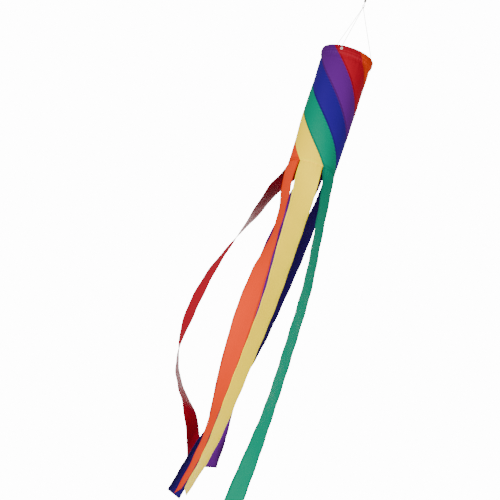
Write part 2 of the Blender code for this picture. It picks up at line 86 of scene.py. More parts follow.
COLOURS = ["red", "orange", "yellow", "green", "blue", "purple"]
JOINTS = {joint["name"]: joint for joint in frame["joints"]}
EYELET_ANGLES = {"front": math.radians(-18), "right": math.radians(102), "left": math.radians(-138)}


def middle_of(node):
    """Centre of a frame node's box."""
    low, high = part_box(node)
    return (np.array(low) + np.array(high)) / 2


# places read from the frame
HOOP_PLANE = float(middle_of("hoop_rod")[2])
SEAM_HEIGHT = JOINTS["red_tail_lift"]["pos_m"][2]
CLIP_REST = JOINTS["upper_eye_swing"]["pos_m"][2]
GATE_PIVOT = JOINTS["gate_swing"]["pos_m"]
BARREL_MIDDLE = JOINTS["barrel_spin"]["pos_m"][2]
BARREL_LENGTH = float(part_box("swivel_barrel")[1][2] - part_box("swivel_barrel")[0][2])

# sock
FOLD_RADIUS = 0.0030          # middle of the cloth round the hoop's centre line
HEM_DEPTH = 0.025
HEM_DIP = 0.0006
HEM_STITCH_DROP = 0.0225      # hem's row of stitches below the hoop
NECK_IN = 0.0008
TAPER = 0.0042
INNER_EDGE = 0.0017           # hem's inner edge inside the neck
TWIST = math.radians(245)
PANEL_START = math.radians(-10)
HALF_PANEL = math.pi / len(COLOURS)
CLOTH_THICK = 0.0004          # two layers of woven cloth and their loft
FELL_WIDTH = 0.0050           # folded seam that runs down one edge of each panel
FELL_RISE = 0.0004
BOTTOM_BAND = 0.0090
PANEL_COLUMNS = 46
PANEL_LAP = 0.027             # share of half a panel that lies under its neighbour's fold
SECTION_STEP = 0.00125

# small relief of the sock's cloth
HEM_GATHERS = 57              # gathers round the hem's stitches
HEM_GATHER_REACH = 0.005
GATHER_START = 0.006          # below the hem, where the tube's gathers are full
GATHER_FADE = 0.022
SEAM_PUCKER_PITCH = 0.0088
SEAM_PUCKER_REACH = 0.0055
BILLOW = 0.0009               # crown of the cloth between two seams
BILLOW_START = 0.03
BAND_RISE = 0.0005
BAND_GROOVE = 0.0003
CREASE_RISE = 0.0005
CREASE_DROPS = (0.0100, 0.0140)
PLEAT_RISE = 0.00035
PLEAT_DROP = 0.012
EYELET_DIMPLE = 0.0004
EYELET_DIMPLE_REACH = 0.005

# tails
TAIL_LENGTH = 1.04
TAIL_NOTCH = 0.0018
TAIL_TUCK = 0.0080            # sewn in behind the bottom band
TUCK_IN = 0.0007
SEAM_BLEND = 0.09
SEAM_CLEAR = 0.0003
TAIL_HEM = 0.0050
TAIL_HEM_RISE = 0.0003
EDGE_WAVE = 0.0007
EDGE_WAVE_PITCH = 0.081
CUP = 0.0007                  # hollow across the ribbon
CUP_PITCH = 0.43
TAIL_GATHER = 0.0005
TAIL_GATHER_PITCH = 0.0115
TAIL_PUCKER = 0.00012
TAIL_PUCKER_PITCH = 0.0093
TAIL_STITCH_INSET = 0.0040
TAIL_ROWS = 330
TAIL_COLUMNS = 30

# bridle
CORD_RADIUS = 0.00075
CORD_SIDES = 14
EYELET_DROP = 0.008
EYELET_HOLE = 0.0017
EYELET_WALL = 0.0006
EYELET_FLANGE = 0.0040
EYELET_PLATE = 0.0006
EYELET_SEAT = 0.0006
SOLID_CLOTH = 0.0008          # the frame's cloth, which the eyelets clear
CLEAR = 0.0003
CORD_BOW = 0.0012
LOOP_RADIUS = 0.0032
STOPPER_RADIUS = 0.0024
BRAID_PITCH = 0.0019
BRAID_RISE = 0.075            # share of the cord's radius
STOPPER_SQUEEZE = 0.95        # pulled tight, the knot's cord is thinner
KNOT_CORE = 0.40              # knot's middle above its low end, as a share of its width
CORD_START = 0.0012           # cord's end from the knot's middle
LOOP_NARROWING = 0.45         # how far the loop closes towards the knot
WRAP_TURNS = 3
WRAP_PITCH = 0.0013
WRAP_RADIUS = 0.00155
WRAP_SWELL = 0.0002

# hoop
FERRULE_HALF = 0.0045
FERRULE_WALL = 0.0004
CRIMP_DEPTH = 0.0001

# swivel and clip
EYE_RADIUS = 0.0036
EYE_WIRE = 0.0008
EYE_COLLAR = 0.0019           # head that holds the shank in the barrel
EYE_COLLAR_DEPTH = 0.0015
TWIST_TURNS = 2.2
TWIST_WIRE = 0.00042
TWIST_RISE = 0.0013
BARREL_RADIUS = 0.0032
BARREL_WALL = 0.0007
BARREL_WAIST = 0.0025
CLIP_WIRE = 0.0011
CLIP_BEND = 0.0055
NOSE_DROP = 0.0030
FORK_WIDTH = 0.0050
FORK_SIZE = 0.0040
FORK_HEIGHT = 0.0056
FORK_DROP = 0.0008
GATE_BOSS = 0.0022
GATE_ARM = 0.0009
PIN_RADIUS = 0.0006

# stitches
STITCH_PITCH = 0.0030
STITCH_LENGTH = 0.0021
THREAD_RADIUS = 0.00020
STITCH_LIFT = CLOTH_THICK / 2 + THREAD_RADIUS * 0.6

# surroundings
SKY_LIGHT = 0.35              # strength that lights the object
SKY_SEEN = 14.0               # strength seen directly, a clean white
FLOOR_DROP = 8.0              # floor below the lowest tail, and below the camera
FLOOR_REACH = 12.0
FLOOR_LINES = 25
AIM_RIGHT = -0.0959           # where the camera looks, from the sock's axis
AIM_DROP = 0.6431             # and below the hoop
# Each soft light: right, back, drop below the object's middle, width, and share of the power.
LIGHTS = {
    "key": (-0.9, -1.2, 0.30, 1.2, 1.0),
    "fill": (1.0, -1.15, 0.70, 1.2, 0.85),
    "back": (0.6, 1.7, 0.0, 1.4, 0.6),
}

# Each tail's route: share of its length, right, back, and the way its outer face looks in
# degrees. They run as the frame's tails do, but red turns up to 9 degrees more in its middle.
TAIL_ROUTES = {
    "yellow": [
        (0.12, 0.000, -0.068, 24), (0.25, 0.001, -0.068, 36), (0.40, 0.001, -0.067, 50),
        (0.55, -0.008, -0.066, 56), (0.70, -0.018, -0.065, 60), (0.82, -0.028, -0.064, 67),
        (0.91, -0.042, -0.062, 74), (1.00, -0.062, -0.062, 80),
    ],
    "orange": [
        (0.14, -0.045, -0.034, -75), (0.22, -0.043, -0.036, -74), (0.33, -0.051, -0.040, -50),
        (0.46, -0.054, -0.042, -32), (0.60, -0.053, -0.043, -44), (0.78, -0.051, -0.043, -72),
        (0.90, -0.062, -0.043, -72), (1.00, -0.082, -0.044, -76),
    ],
    "green": [
        (0.06, 0.060, -0.042, 62), (0.20, 0.075, -0.050, 66), (0.35, 0.090, -0.054, 65),
        (0.55, 0.093, -0.058, 64), (0.72, 0.091, -0.061, 62), (0.84, 0.085, -0.065, 52),
        (0.92, 0.079, -0.067, 45), (1.00, 0.073, -0.069, 40),
    ],
    "blue": [
        (0.10, 0.048, 0.033, 117), (0.25, 0.037, 0.046, 120), (0.40, 0.020, 0.052, 120),
        (0.55, 0.000, 0.052, 118), (0.68, -0.022, 0.049, 95), (0.80, -0.048, 0.043, 65),
        (0.90, -0.070, 0.038, 56), (1.00, -0.091, 0.031, 55),
    ],
    "purple": [
        (0.07, -0.004, 0.112, 172), (0.14, -0.014, 0.156, 170), (0.22, -0.024, 0.120, 168),
        (0.30, -0.030, 0.079, 166), (0.385, -0.037, 0.121, 165), (0.47, -0.044, 0.167, 164),
        (0.555, -0.048, 0.138, 162), (0.64, -0.047, 0.111, 161), (0.72, -0.041, 0.151, 160),
        (0.80, -0.033, 0.193, 157), (0.88, -0.027, 0.154, 148), (0.94, -0.024, 0.122, 141),
        (1.00, -0.024, 0.136, 138),
    ],
    "red": [
        (0.08, -0.086, 0.070, -112), (0.16, -0.113, 0.109, -102), (0.26, -0.150, 0.152, -80),
        (0.36, -0.182, 0.186, -68), (0.46, -0.200, 0.206, -64), (0.54, -0.204, 0.208, -73),
        (0.61, -0.200, 0.194, -94), (0.69, -0.184, 0.158, -108), (0.77, -0.154, 0.114, -120),
        (0.84, -0.119, 0.084, -132), (0.91, -0.088, 0.108, -132), (0.96, -0.075, 0.138, -122),
        (1.00, -0.070, 0.162, -112),
    ],
}


# ---------------------------------------------------------------- settings

def colour_property(name, description, value):
    """A colour setting that the sidebar shows."""
    return bpy.props.FloatVectorProperty(
        name=name, description=description, default=value, size=3, min=0, max=1, subtype="COLOR"
    )


def linear(code):
    """sRGB hex code to linear red, green and blue."""
    parts = np.array([int(code[i:i + 2], 16) for i in (1, 3, 5)]) / 255
    low = parts / 12.92
    high = ((parts + 0.055) / 1.055) ** 2.4
    return tuple(float(v) for v in np.where(parts <= 0.04045, low, high))


class WindsockSizes(bpy.types.PropertyGroup):
    """Sizes that a maker would choose."""
    hoop_radius: bpy.props.FloatProperty(
        name="Hoop radius", description="Centre line of the hoop's rod", default=0.0726,
        min=0.03, max=0.3, unit="LENGTH",
    )
    weave_pitch: bpy.props.FloatProperty(
        name="Weave pitch", description="Spacing of the cloth's drawn threads", default=0.0011,
        min=0.0002, max=0.005, unit="LENGTH",
    )
    pucker: bpy.props.FloatProperty(
        name="Pucker", description="Height of the small gathers along sewn seams",
        default=0.00038, min=0, max=0.002, unit="LENGTH",
    )
    drape: bpy.props.FloatProperty(
        name="Drape", description="Height of the sock's soft folds", default=0.0011,
        min=0, max=0.004, unit="LENGTH",
    )


class WindsockColours(bpy.types.PropertyGroup):
    """Colours of the dyed cloth, the cord and the plated metal."""
    red: colour_property("Red", "Dyed cloth", linear("#A50E22"))
    orange: colour_property("Orange", "Dyed cloth", linear("#DA3A0C"))
    yellow: colour_property("Yellow", "Dyed cloth", linear("#FFD90A"))
    green: colour_property("Green", "Dyed cloth", linear("#007C5E"))
    blue: colour_property("Blue", "Dyed cloth", linear("#260A74"))
    purple: colour_property("Purple", "Dyed cloth", linear("#561374"))
    # The cord itself is white; this grey is painted shade on it.
    cord: colour_property("Cord", "Braided polyester", linear("#B4B3AF"))
    nickel: colour_property("Nickel", "Plated steel", linear("#C9C5BD"))


class WindsockStage(bpy.types.PropertyGroup):
    """Where the object is seen from, and the light on it."""
    elevation: bpy.props.FloatProperty(
        name="Elevation", description="Camera's height angle; below the object is negative",
        default=math.radians(-18.2), subtype="ANGLE",
    )
    roll: bpy.props.FloatProperty(
        name="Roll", description="Camera's turn about its own view", default=math.radians(17.82),
        subtype="ANGLE",
    )
    distance: bpy.props.FloatProperty(
        name="Distance", description="Camera to its target", default=20.0, unit="LENGTH",
    )
    view_size: bpy.props.FloatProperty(
        name="View size", description="Width of what the camera sees at its target",
        default=1.4125, unit="LENGTH",
    )
    key_power: bpy.props.FloatProperty(
        name="Key light", description="Power of the main soft light", default=40.0, min=0,
        unit="POWER",
    )


# ---------------------------------------------------------------- surfaces

def around(angle, radius, height):
    """Points at angles round the sock's axis, as an array with x, y and z last."""
    angle, radius, height = np.broadcast_arrays(angle, radius, height)
    return np.stack([radius * np.sin(angle), -radius * np.cos(angle), height], axis=-1)


def unit(vectors):
    """Vectors divided by their lengths."""
    length = np.linalg.norm(vectors, axis=-1, keepdims=True)
    return vectors / np.maximum(length, 1e-12)


def soft_step(value):
    """0 below 0, 1 above 1, with a smooth rise between."""
    value = np.clip(value, 0, 1)
    return value * value * (3 - 2 * value)


def soften(points, step, width, closed=False):
    """A polyline resampled at equal steps whose corners are rounded by a moving average."""
    points = np.asarray(points, float)
    if closed:
        points = np.vstack([points, points[:1]])
    lengths = np.concatenate([[0], np.cumsum(np.linalg.norm(np.diff(points, axis=0), axis=1))])
    count = max(8, int(round(lengths[-1] / step)))
    marks = np.linspace(0, lengths[-1], count + 1)
    fine = np.stack([np.interp(marks, lengths, axis) for axis in points.T], axis=-1)
    half = max(1, int(round(width / step / 2)))
    kernel = np.ones(2 * half + 1) / (2 * half + 1)
    if closed:
        fine = fine[:-1]
        padded = np.vstack([fine[-2 * half:], fine, fine[:2 * half]])
    else:
        start = 2 * fine[0] - fine[1:2 * half + 1][::-1]
        end = 2 * fine[-1] - fine[-2 * half - 1:-1][::-1]
        padded = np.vstack([start, fine, end])
    for _ in range(2):
        padded = np.stack([np.convolve(axis, kernel, "valid") for axis in padded.T], axis=-1)
    return padded


def grid_quads(rows, columns, wrap_rows=False, wrap_columns=False):
    """Quads of a grid numbered row by row, seen counterclockwise from columns cross rows."""
    i = np.arange(rows if wrap_rows else rows - 1)
    j = np.arange(columns if wrap_columns else columns - 1)
    i, j = (part.ravel() for part in np.meshgrid(i, j, indexing="ij"))
    up, over = (i + 1) % rows, (j + 1) % columns
    corners = [i * columns + j, i * columns + over, up * columns + over, up * columns + j]
    return np.stack(corners, axis=-1)


def skin(rings, loop=False):
    """A closed surface over rings of points: the last ring meets the first, or both ends close
    to a pole at their centre."""
    rows, columns = rings.shape[:2]
    points = rings.reshape(-1, 3)
    quads = grid_quads(rows, columns, wrap_rows=loop, wrap_columns=True)
    if loop:
        return points, [quads]
    poles = np.stack([rings[0].mean(0), rings[-1].mean(0)])
    j = np.arange(columns)
    over = (j + 1) % columns
    last = (rows - 1) * columns
    first_pole = np.full(columns, len(points))
    start = np.stack([first_pole, over, j], axis=-1)
    end = np.stack([last + j, last + over, first_pole + 1], axis=-1)
    return np.vstack([points, poles]), [quads, start, end]


def sweep(path, radius, sides, side_axis, loop=False, relief=None):
    """A round section carried along a path: point = path + radius (cos a n + sin a b), where b
    is the given side axis and n stands square to it and to the path."""
    path = np.asarray(path, float)
    if loop:
        tangent = np.roll(path, -1, axis=0) - np.roll(path, 1, axis=0)
    else:
        tangent = np.gradient(path, axis=0)
    tangent = unit(tangent)
    side = np.broadcast_to(np.asarray(side_axis, float), path.shape)
    side = unit(side - tangent * np.sum(side * tangent, axis=-1, keepdims=True))
    normal = np.cross(side, tangent)
    angle = np.linspace(0, 2 * math.pi, sides, endpoint=False)
    size = np.broadcast_to(np.asarray(radius, float).reshape(-1, 1), (len(path), sides))
    if relief is not None:
        size = size * relief(run_lengths(path)[:, None], angle[None, :])
    ring = np.cos(angle)[None, :, None] * normal[:, None] + np.sin(angle)[None, :, None] * side[:, None]
    return skin(path[:, None] + size[..., None] * ring, loop)


def run_lengths(path):
    """Length along a path at each of its points: the sum of the steps before it."""
    steps = np.linalg.norm(np.diff(path, axis=0), axis=1)
    return np.concatenate([[0], np.cumsum(steps)])


def rounded_ends(radius, path):
    """Radius along a path that closes in a quarter circle at each end."""
    run = run_lengths(np.asarray(path))
    nearest = np.minimum(run, run[-1] - run)
    inside = np.clip(1 - nearest / radius, 0, 1)
    return radius * np.sqrt(np.maximum(1 - inside**2, 0.0004))


def turn(profile, centre, axis, sides, loop=False):
    """A profile of (radius, height) turned about an axis through a centre. It runs up its outer
    side, so that the faces look outwards."""
    axis = unit(np.asarray(axis, float))
    across = unit(np.cross([0.0, 0.0, 1.0], axis)) if abs(axis[2]) < 0.9 else np.array([1.0, 0, 0])
    side = np.cross(axis, across)
    angle = np.linspace(0, 2 * math.pi, sides, endpoint=False)
    ring = np.cos(angle)[:, None] * across + np.sin(angle)[:, None] * side
    radius, height = np.asarray(profile, float).T
    rings = np.asarray(centre) + radius[:, None, None] * ring[None] + height[:, None, None] * axis
    return skin(rings, loop)


def grid_normals(grid):
    """Unit normals of a grid of points: its step across, crossed with its step down."""
    return unit(np.cross(np.gradient(grid, axis=1), np.gradient(grid, axis=0)))


def shell(middle, thickness, keep=None):
    """Cloth of an even thickness about a grid of points, closed round its edges and round any
    hole where keep is false. Returns points, faces and the grid place of every point."""
    rows, columns = middle.shape[:2]
    normal = grid_normals(middle)
    outer = (middle + normal * thickness / 2).reshape(-1, 3)
    inner = (middle - normal * thickness / 2).reshape(-1, 3)
    quads = grid_quads(rows, columns)
    if keep is not None:
        quads = quads[keep.ravel()]
    total = rows * columns
    starts = quads.ravel()
    ends = np.roll(quads, -1, axis=1).ravel()
    edge = ~np.isin(starts * total + ends, ends * total + starts)
    a, b = starts[edge], ends[edge]
    rim = np.stack([b, a, a + total, b + total], axis=-1)
    faces = np.vstack([quads, quads[:, ::-1] + total, rim])
    used, numbers = np.unique(faces, return_inverse=True)
    points = np.vstack([outer, inner])[used]
    return points, [numbers.reshape(faces.shape)], used % total


def stitch_row(places, along, out):
    """Short capsules of thread that lie along a line of places, each sunk at both ends."""
    run = run_lengths(places)
    count = max(1, int(run[-1] / STITCH_PITCH))
    marks = (np.arange(count) + 0.5) * run[-1] / count

    def at_marks(line):
        return np.stack([np.interp(marks, run, axis) for axis in line.T], axis=-1)

    centre, forward, up = at_marks(places), unit(at_marks(along)), unit(at_marks(out))
    side = np.cross(up, forward)
    reach = np.array([-0.5, -0.26, 0.26, 0.5]) * STITCH_LENGTH
    lift = np.array([-0.9, 0.45, 0.45, -0.9]) * THREAD_RADIUS
    girth = np.array([0.55, 1.0, 1.0, 0.55]) * THREAD_RADIUS
    rings, sides = len(reach), 5
    angle = np.linspace(0, 2 * math.pi, sides, endpoint=False)
    x = np.broadcast_to(reach[:, None], (rings, sides))
    y = girth[:, None] * np.cos(angle)[None]
    z = lift[:, None] + girth[:, None] * np.sin(angle)[None]
    points = (
        centre[:, None, None]
        + x[None, ..., None] * forward[:, None, None]
        + y[None, ..., None] * side[:, None, None]
        + z[None, ..., None] * up[:, None, None]
    ).reshape(-1, 3)
    wall = grid_quads(rings, sides, wrap_columns=True)
    shift = (np.arange(count) * rings * sides)[:, None, None]
    walls = (wall[None] + shift).reshape(-1, 4)
    last = (rings - 1) * sides
    caps = np.array([np.arange(sides)[::-1], np.arange(last, last + sides)])
    ends = (caps[None] + shift).reshape(-1, sides)
    return points, [walls, ends]


def add_piece(name, parts, finishes):
    """One mesh object from parts, each (points, faces, finish number, cloth place, layers)."""
    mesh = bpy.data.meshes.new(name)
    points, loops, sizes, slots, places, layers = [], [], [], [], [], []
    base = 0
    for part in parts:
        part_points, faces, slot = part[:3]
        place = part[3] if len(part) > 3 else np.zeros((len(part_points), 2))
        layer = part[4] if len(part) > 4 else np.ones(len(part_points))
        points.append(part_points)
        places.append(place)
        layers.append(layer)
        for group in faces:
            loops.append((group + base).ravel())
            sizes.append(np.full(len(group), group.shape[1]))
            slots.append(np.full(len(group), slot))
        base += len(part_points)
    points, loops, sizes = np.vstack(points), np.concatenate(loops), np.concatenate(sizes)
    mesh.vertices.add(len(points))
    mesh.vertices.foreach_set("co", points.astype(np.float32).ravel())
    mesh.loops.add(len(loops))
    mesh.loops.foreach_set("vertex_index", loops.astype(np.int32))
    mesh.polygons.add(len(sizes))
    starts = np.concatenate([[0], np.cumsum(sizes)[:-1]])
    mesh.polygons.foreach_set("loop_start", starts.astype(np.int32))
    mesh.polygons.foreach_set("loop_total", sizes.astype(np.int32))
    mesh.polygons.foreach_set("material_index", np.concatenate(slots).astype(np.int32))
    mesh.update(calc_edges=True)
    cloth_map = mesh.uv_layers.new(name="cloth")
    cloth_map.data.foreach_set("uv", np.vstack(places)[loops].astype(np.float32).ravel())
    doubled = mesh.attributes.new("layers", "FLOAT", "POINT")
    doubled.data.foreach_set("value", np.concatenate(layers).astype(np.float32))
    mesh.validate()
    mesh.shade_smooth()
    for finish in finishes:
        mesh.materials.append(finish)
    piece = bpy.data.objects.new(name, mesh)
    bpy.context.scene.collection.objects.link(piece)
    return piece


# ---------------------------------------------------------------- finishes

def add_node(tree, kind, settings, inputs):
    """Adds a node; an input that is a socket is linked, and any other is a value."""
    node = tree.nodes.new(kind)
    for name, value in settings.items():
        setattr(node, name, value)
    for name, value in inputs.items():
        if isinstance(value, bpy.types.NodeSocket):
            tree.links.new(value, node.inputs[name])
        else:
            node.inputs[name].default_value = value
    return node


def new_finish(name):
    """An empty material with its Principled shader; returns the material, tree and shader."""
    finish = bpy.data.materials.get(name) or bpy.data.materials.new(name)
    finish.use_nodes = True
    tree = finish.node_tree
    tree.nodes.clear()
    shader = add_node(tree, "ShaderNodeBsdfPrincipled", {}, {})
    add_node(tree, "ShaderNodeOutputMaterial", {}, {"Surface": shader.outputs["BSDF"]})
    return finish, tree, shader


def set_shader(tree, shader, inputs):
    """Links or sets a shader's inputs, as add_node does."""
    for name, value in inputs.items():
        if isinstance(value, bpy.types.NodeSocket):
            tree.links.new(value, shader.inputs[name])
        else:
            shader.inputs[name].default_value = value


def woven_nylon(name, colour):
    """Woven nylon: crossed fine yarns give a soft, almost matt face. A second layer at a hem or seam
    lets less light through; the shader lets none through, so there the colour is painted: painted
    shade makes dark cloth darker and painted light makes pale cloth brighter. Real yarns lie about
    0.2 mm apart, too fine to show, so the weave is drawn coarser."""
    finish, tree, shader = new_finish(name)
    pitch = bpy.context.scene.windsock_sizes.weave_pitch
    cloth = add_node(tree, "ShaderNodeUVMap", {"uv_map": "cloth"}, {})
    yarns = []
    for direction in ("X", "Y"):
        yarns.append(add_node(
            tree, "ShaderNodeTexWave",
            {"wave_type": "BANDS", "bands_direction": direction, "wave_profile": "SIN"},
            {"Vector": cloth.outputs["UV"], "Scale": math.pi / (10 * pitch),
             "Distortion": 0.6, "Detail": 1.0, "Detail Scale": 0.4},
        ))
    weave = add_node(
        tree, "ShaderNodeMath", {"operation": "MAXIMUM"},
        {0: yarns[0].outputs["Fac"], 1: yarns[1].outputs["Fac"]},
    )
    place = add_node(tree, "ShaderNodeTexCoord", {}, {})
    creases = add_node(
        tree, "ShaderNodeTexNoise", {},
        {"Vector": place.outputs["Object"], "Scale": 38.0, "Detail": 4.0, "Roughness": 0.55},
    )
    bleach = add_node(
        tree, "ShaderNodeTexNoise", {},
        {"Vector": place.outputs["Object"], "Scale": 9.0, "Detail": 2.0},
    )
    # Painted light and shade: where the cloth is doubled, dark cloth is painted darker and pale cloth
    # brighter, standing in for light passing through the cloth, which this shader does not carry.
    layers = add_node(tree, "ShaderNodeAttribute", {"attribute_name": "layers"}, {})
    painted_doubling_share = add_node(
        tree, "ShaderNodeMapRange", {},
        {"Value": layers.outputs["Fac"], "From Min": 1.0, "From Max": 3.0, "To Min": 0.0, "To Max": 1.0},
    )
    painted_doubling_factor = 1.12 if colour[1] > 0.5 else 0.62
    painted_doubled_colour = tuple(min(1.0, v * painted_doubling_factor) for v in colour) + (1.0,)
    pale = tuple(min(1.0, v * 1.08 + 0.004) for v in colour) + (1.0,)
    base = add_node(
        tree, "ShaderNodeMix", {"data_type": "RGBA"},
        {0: painted_doubling_share.outputs["Result"], 6: (*colour, 1.0), 7: painted_doubled_colour},
    )
    faded = add_node(
        tree, "ShaderNodeMapRange", {},
        {"Value": bleach.outputs["Fac"], "From Min": 0.35, "From Max": 0.75, "To Min": 0.0, "To Max": 0.35},
    )
    dyed = add_node(
        tree, "ShaderNodeMix", {"data_type": "RGBA"},
        {0: faded.outputs["Result"], 6: base.outputs[2], 7: pale},
    )
    shade = add_node(
        tree, "ShaderNodeMapRange", {},
        {"Value": weave.outputs["Value"], "From Min": 0.0, "From Max": 1.0, "To Min": 0.90, "To Max": 1.03},
    )
    threads = add_node(
        tree, "ShaderNodeVectorMath", {"operation": "SCALE"},
        {0: dyed.outputs[2], "Scale": shade.outputs["Result"]},
    )
    fine = add_node(
        tree, "ShaderNodeBump", {},
        {"Height": weave.outputs["Value"], "Strength": 0.25, "Distance": 0.0002},
    )
    soft = add_node(
        tree, "ShaderNodeBump", {},
        {"Height": creases.outputs["Fac"], "Strength": 0.35, "Distance": 0.0016,
         "Normal": fine.outputs["Normal"]},
    )
    rough = add_node(
        tree, "ShaderNodeMapRange", {},
        {"Value": creases.outputs["Fac"], "From Min": 0.3, "From Max": 0.7, "To Min": 0.44, "To Max": 0.58},
    )
    set_shader(tree, shader, {
        "Base Color": threads.outputs["Vector"], "Roughness": rough.outputs["Result"],
        "Normal": soft.outputs["Normal"], "IOR": 1.53, "Sheen Weight": 0.0,
        "Specular IOR Level": 0.05,
    })
    return finish


def sewing_thread(name, colour):
    """Spun polyester thread, dyed to match: two twisted plies, duller than the cloth."""
    finish, tree, shader = new_finish(name)
    place = add_node(tree, "ShaderNodeTexCoord", {}, {})
    plies = add_node(
        tree, "ShaderNodeTexNoise", {}, {"Vector": place.outputs["Object"], "Scale": 900.0, "Detail": 1.0}
    )
    dark = tuple(v * 0.72 for v in colour) + (1.0,)
    mixed = add_node(
        tree, "ShaderNodeMix", {"data_type": "RGBA"}, {0: plies.outputs["Fac"], 6: dark, 7: (*colour, 1.0)}
    )
    set_shader(tree, shader, {"Base Color": mixed.outputs[2], "Roughness": 0.7})
    return finish


def braided_cord(name, colour):
    """Braided polyester cord: matt white filaments with a little dirt between the strands."""
    finish, tree, shader = new_finish(name)
    place = add_node(tree, "ShaderNodeTexCoord", {}, {})
    fibres = add_node(
        tree, "ShaderNodeTexNoise", {}, {"Vector": place.outputs["Object"], "Scale": 1400.0, "Detail": 3.0}
    )
    dirt = tuple(v * 0.82 for v in colour) + (1.0,)
    mixed = add_node(
        tree, "ShaderNodeMix", {"data_type": "RGBA"}, {0: fibres.outputs["Fac"], 6: dirt, 7: (*colour, 1.0)}
    )
    raised = add_node(
        tree, "ShaderNodeBump", {}, {"Height": fibres.outputs["Fac"], "Strength": 0.3, "Distance": 0.0001}
    )
    set_shader(tree, shader, {
        "Base Color": mixed.outputs[2], "Roughness": 0.75, "Normal": raised.outputs["Normal"],
        "Sheen Weight": 0.15,
    })
    return finish


def plated_steel(name, colour):
    """Nickel plate on drawn wire: bright and slightly warm, with fine handling scratches."""
    finish, tree, shader = new_finish(name)
    place = add_node(tree, "ShaderNodeTexCoord", {}, {})
    wear = add_node(
        tree, "ShaderNodeTexNoise", {},
        {"Vector": place.outputs["Object"], "Scale": 420.0, "Detail": 5.0, "Roughness": 0.6},
    )
    rough = add_node(
        tree, "ShaderNodeMapRange", {},
        {"Value": wear.outputs["Fac"], "From Min": 0.3, "From Max": 0.7, "To Min": 0.14, "To Max": 0.32},
    )
    tint = tuple(v * 0.86 for v in colour) + (1.0,)
    plate = add_node(
        tree, "ShaderNodeMix", {"data_type": "RGBA"}, {0: wear.outputs["Fac"], 6: tint, 7: (*colour, 1.0)}
    )
    set_shader(tree, shader, {
        "Base Color": plate.outputs[2], "Metallic": 1.0, "Roughness": rough.outputs["Result"],
    })
    return finish


def white_gloss(name, colour, roughness):
    """Enamel or drawn plastic: a smooth white coat with slight unevenness."""
    finish, tree, shader = new_finish(name)
    place = add_node(tree, "ShaderNodeTexCoord", {}, {})
    uneven = add_node(
        tree, "ShaderNodeTexNoise", {}, {"Vector": place.outputs["Object"], "Scale": 260.0, "Detail": 2.0}
    )
    dull = tuple(v * 0.93 for v in colour) + (1.0,)
    coat = add_node(
        tree, "ShaderNodeMix", {"data_type": "RGBA"}, {0: uneven.outputs["Fac"], 6: dull, 7: (*colour, 1.0)}
    )
    raised = add_node(
        tree, "ShaderNodeBump", {}, {"Height": uneven.outputs["Fac"], "Strength": 0.12, "Distance": 0.0002}
    )
    set_shader(tree, shader, {
        "Base Color": coat.outputs[2], "Roughness": roughness, "Normal": raised.outputs["Normal"],
    })
    return finish


def pale_floor(name):
    """Painted studio floor: matt and almost white, with a very faint mottle."""
    finish, tree, shader = new_finish(name)
    place = add_node(tree, "ShaderNodeTexCoord", {}, {})
    mottle = add_node(
        tree, "ShaderNodeTexNoise", {}, {"Vector": place.outputs["Object"], "Scale": 1.5, "Detail": 3.0}
    )
    paint = add_node(
        tree, "ShaderNodeMix", {"data_type": "RGBA"},
        {0: mottle.outputs["Fac"], 6: (0.84, 0.84, 0.84, 1), 7: (0.88, 0.88, 0.88, 1)},
    )
    set_shader(tree, shader, {"Base Color": paint.outputs[2], "Roughness": 0.8})
    return finish


def cloth_finishes(colour):
    """The dyed cloth and its matching thread."""
    dye = tuple(getattr(bpy.context.scene.windsock_colours, colour))
    return [woven_nylon(f"woven_nylon_{colour}", dye), sewing_thread(f"thread_{colour}", dye)]


def cord_finish():
    """The white braided cord, drawn in a grey that is painted shade."""
    return braided_cord("braided_polyester", tuple(bpy.context.scene.windsock_colours.cord))


def metal_finish():
    """The nickel-plated wire and sheet."""
    return plated_steel("nickel_plated_steel", tuple(bpy.context.scene.windsock_colours.nickel))


# ---------------------------------------------------------------- bridle

def bridle_route(hoop_radius):
    """(radius, height above the hoop plane) of a cord: straight from the knot to the rim, over
    the hem's round edge, and by a quarter turn into its eyelet."""
    knot_low, knot_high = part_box("bridle_knot")
    knot_centre = float(knot_low[2]) + float(knot_high[0] - knot_low[0]) * KNOT_CORE
    rise = knot_centre - HOOP_PLANE
    clear = FOLD_RADIUS + SOLID_CLOTH / 2 + CLEAR + CORD_RADIUS
    lean = math.atan2(hoop_radius, rise)
    top = (CORD_START * math.sin(lean), rise - CORD_START * math.cos(lean))
    arc = np.linspace(lean, -math.radians(12), 9)
    over = np.stack([hoop_radius + clear * np.cos(arc), clear * np.sin(arc)], axis=-1)
    bend = 4 * CORD_RADIUS
    middle = (hoop_radius + clear + CORD_BOW - bend, bend - EYELET_DROP)
    arc = np.linspace(math.radians(8), math.radians(90), 9)
    into = np.stack([middle[0] + bend * np.cos(arc), middle[1] - bend * np.sin(arc)], axis=-1)
    inside = hoop_radius - FOLD_RADIUS - SOLID_CLOTH / 2 - EYELET_SEAT - EYELET_PLATE
    return np.vstack([top, over, into, (inside, -EYELET_DROP)])


def braid(run, angle):
    """Strands that cross as they wind both ways round a cord: a product of two opposite helical
    waves."""
    turn_rate = 2 * math.pi / BRAID_PITCH
    return 1 + BRAID_RISE * np.sin(4 * angle + turn_rate * run) * np.sin(4 * angle - turn_rate * run)


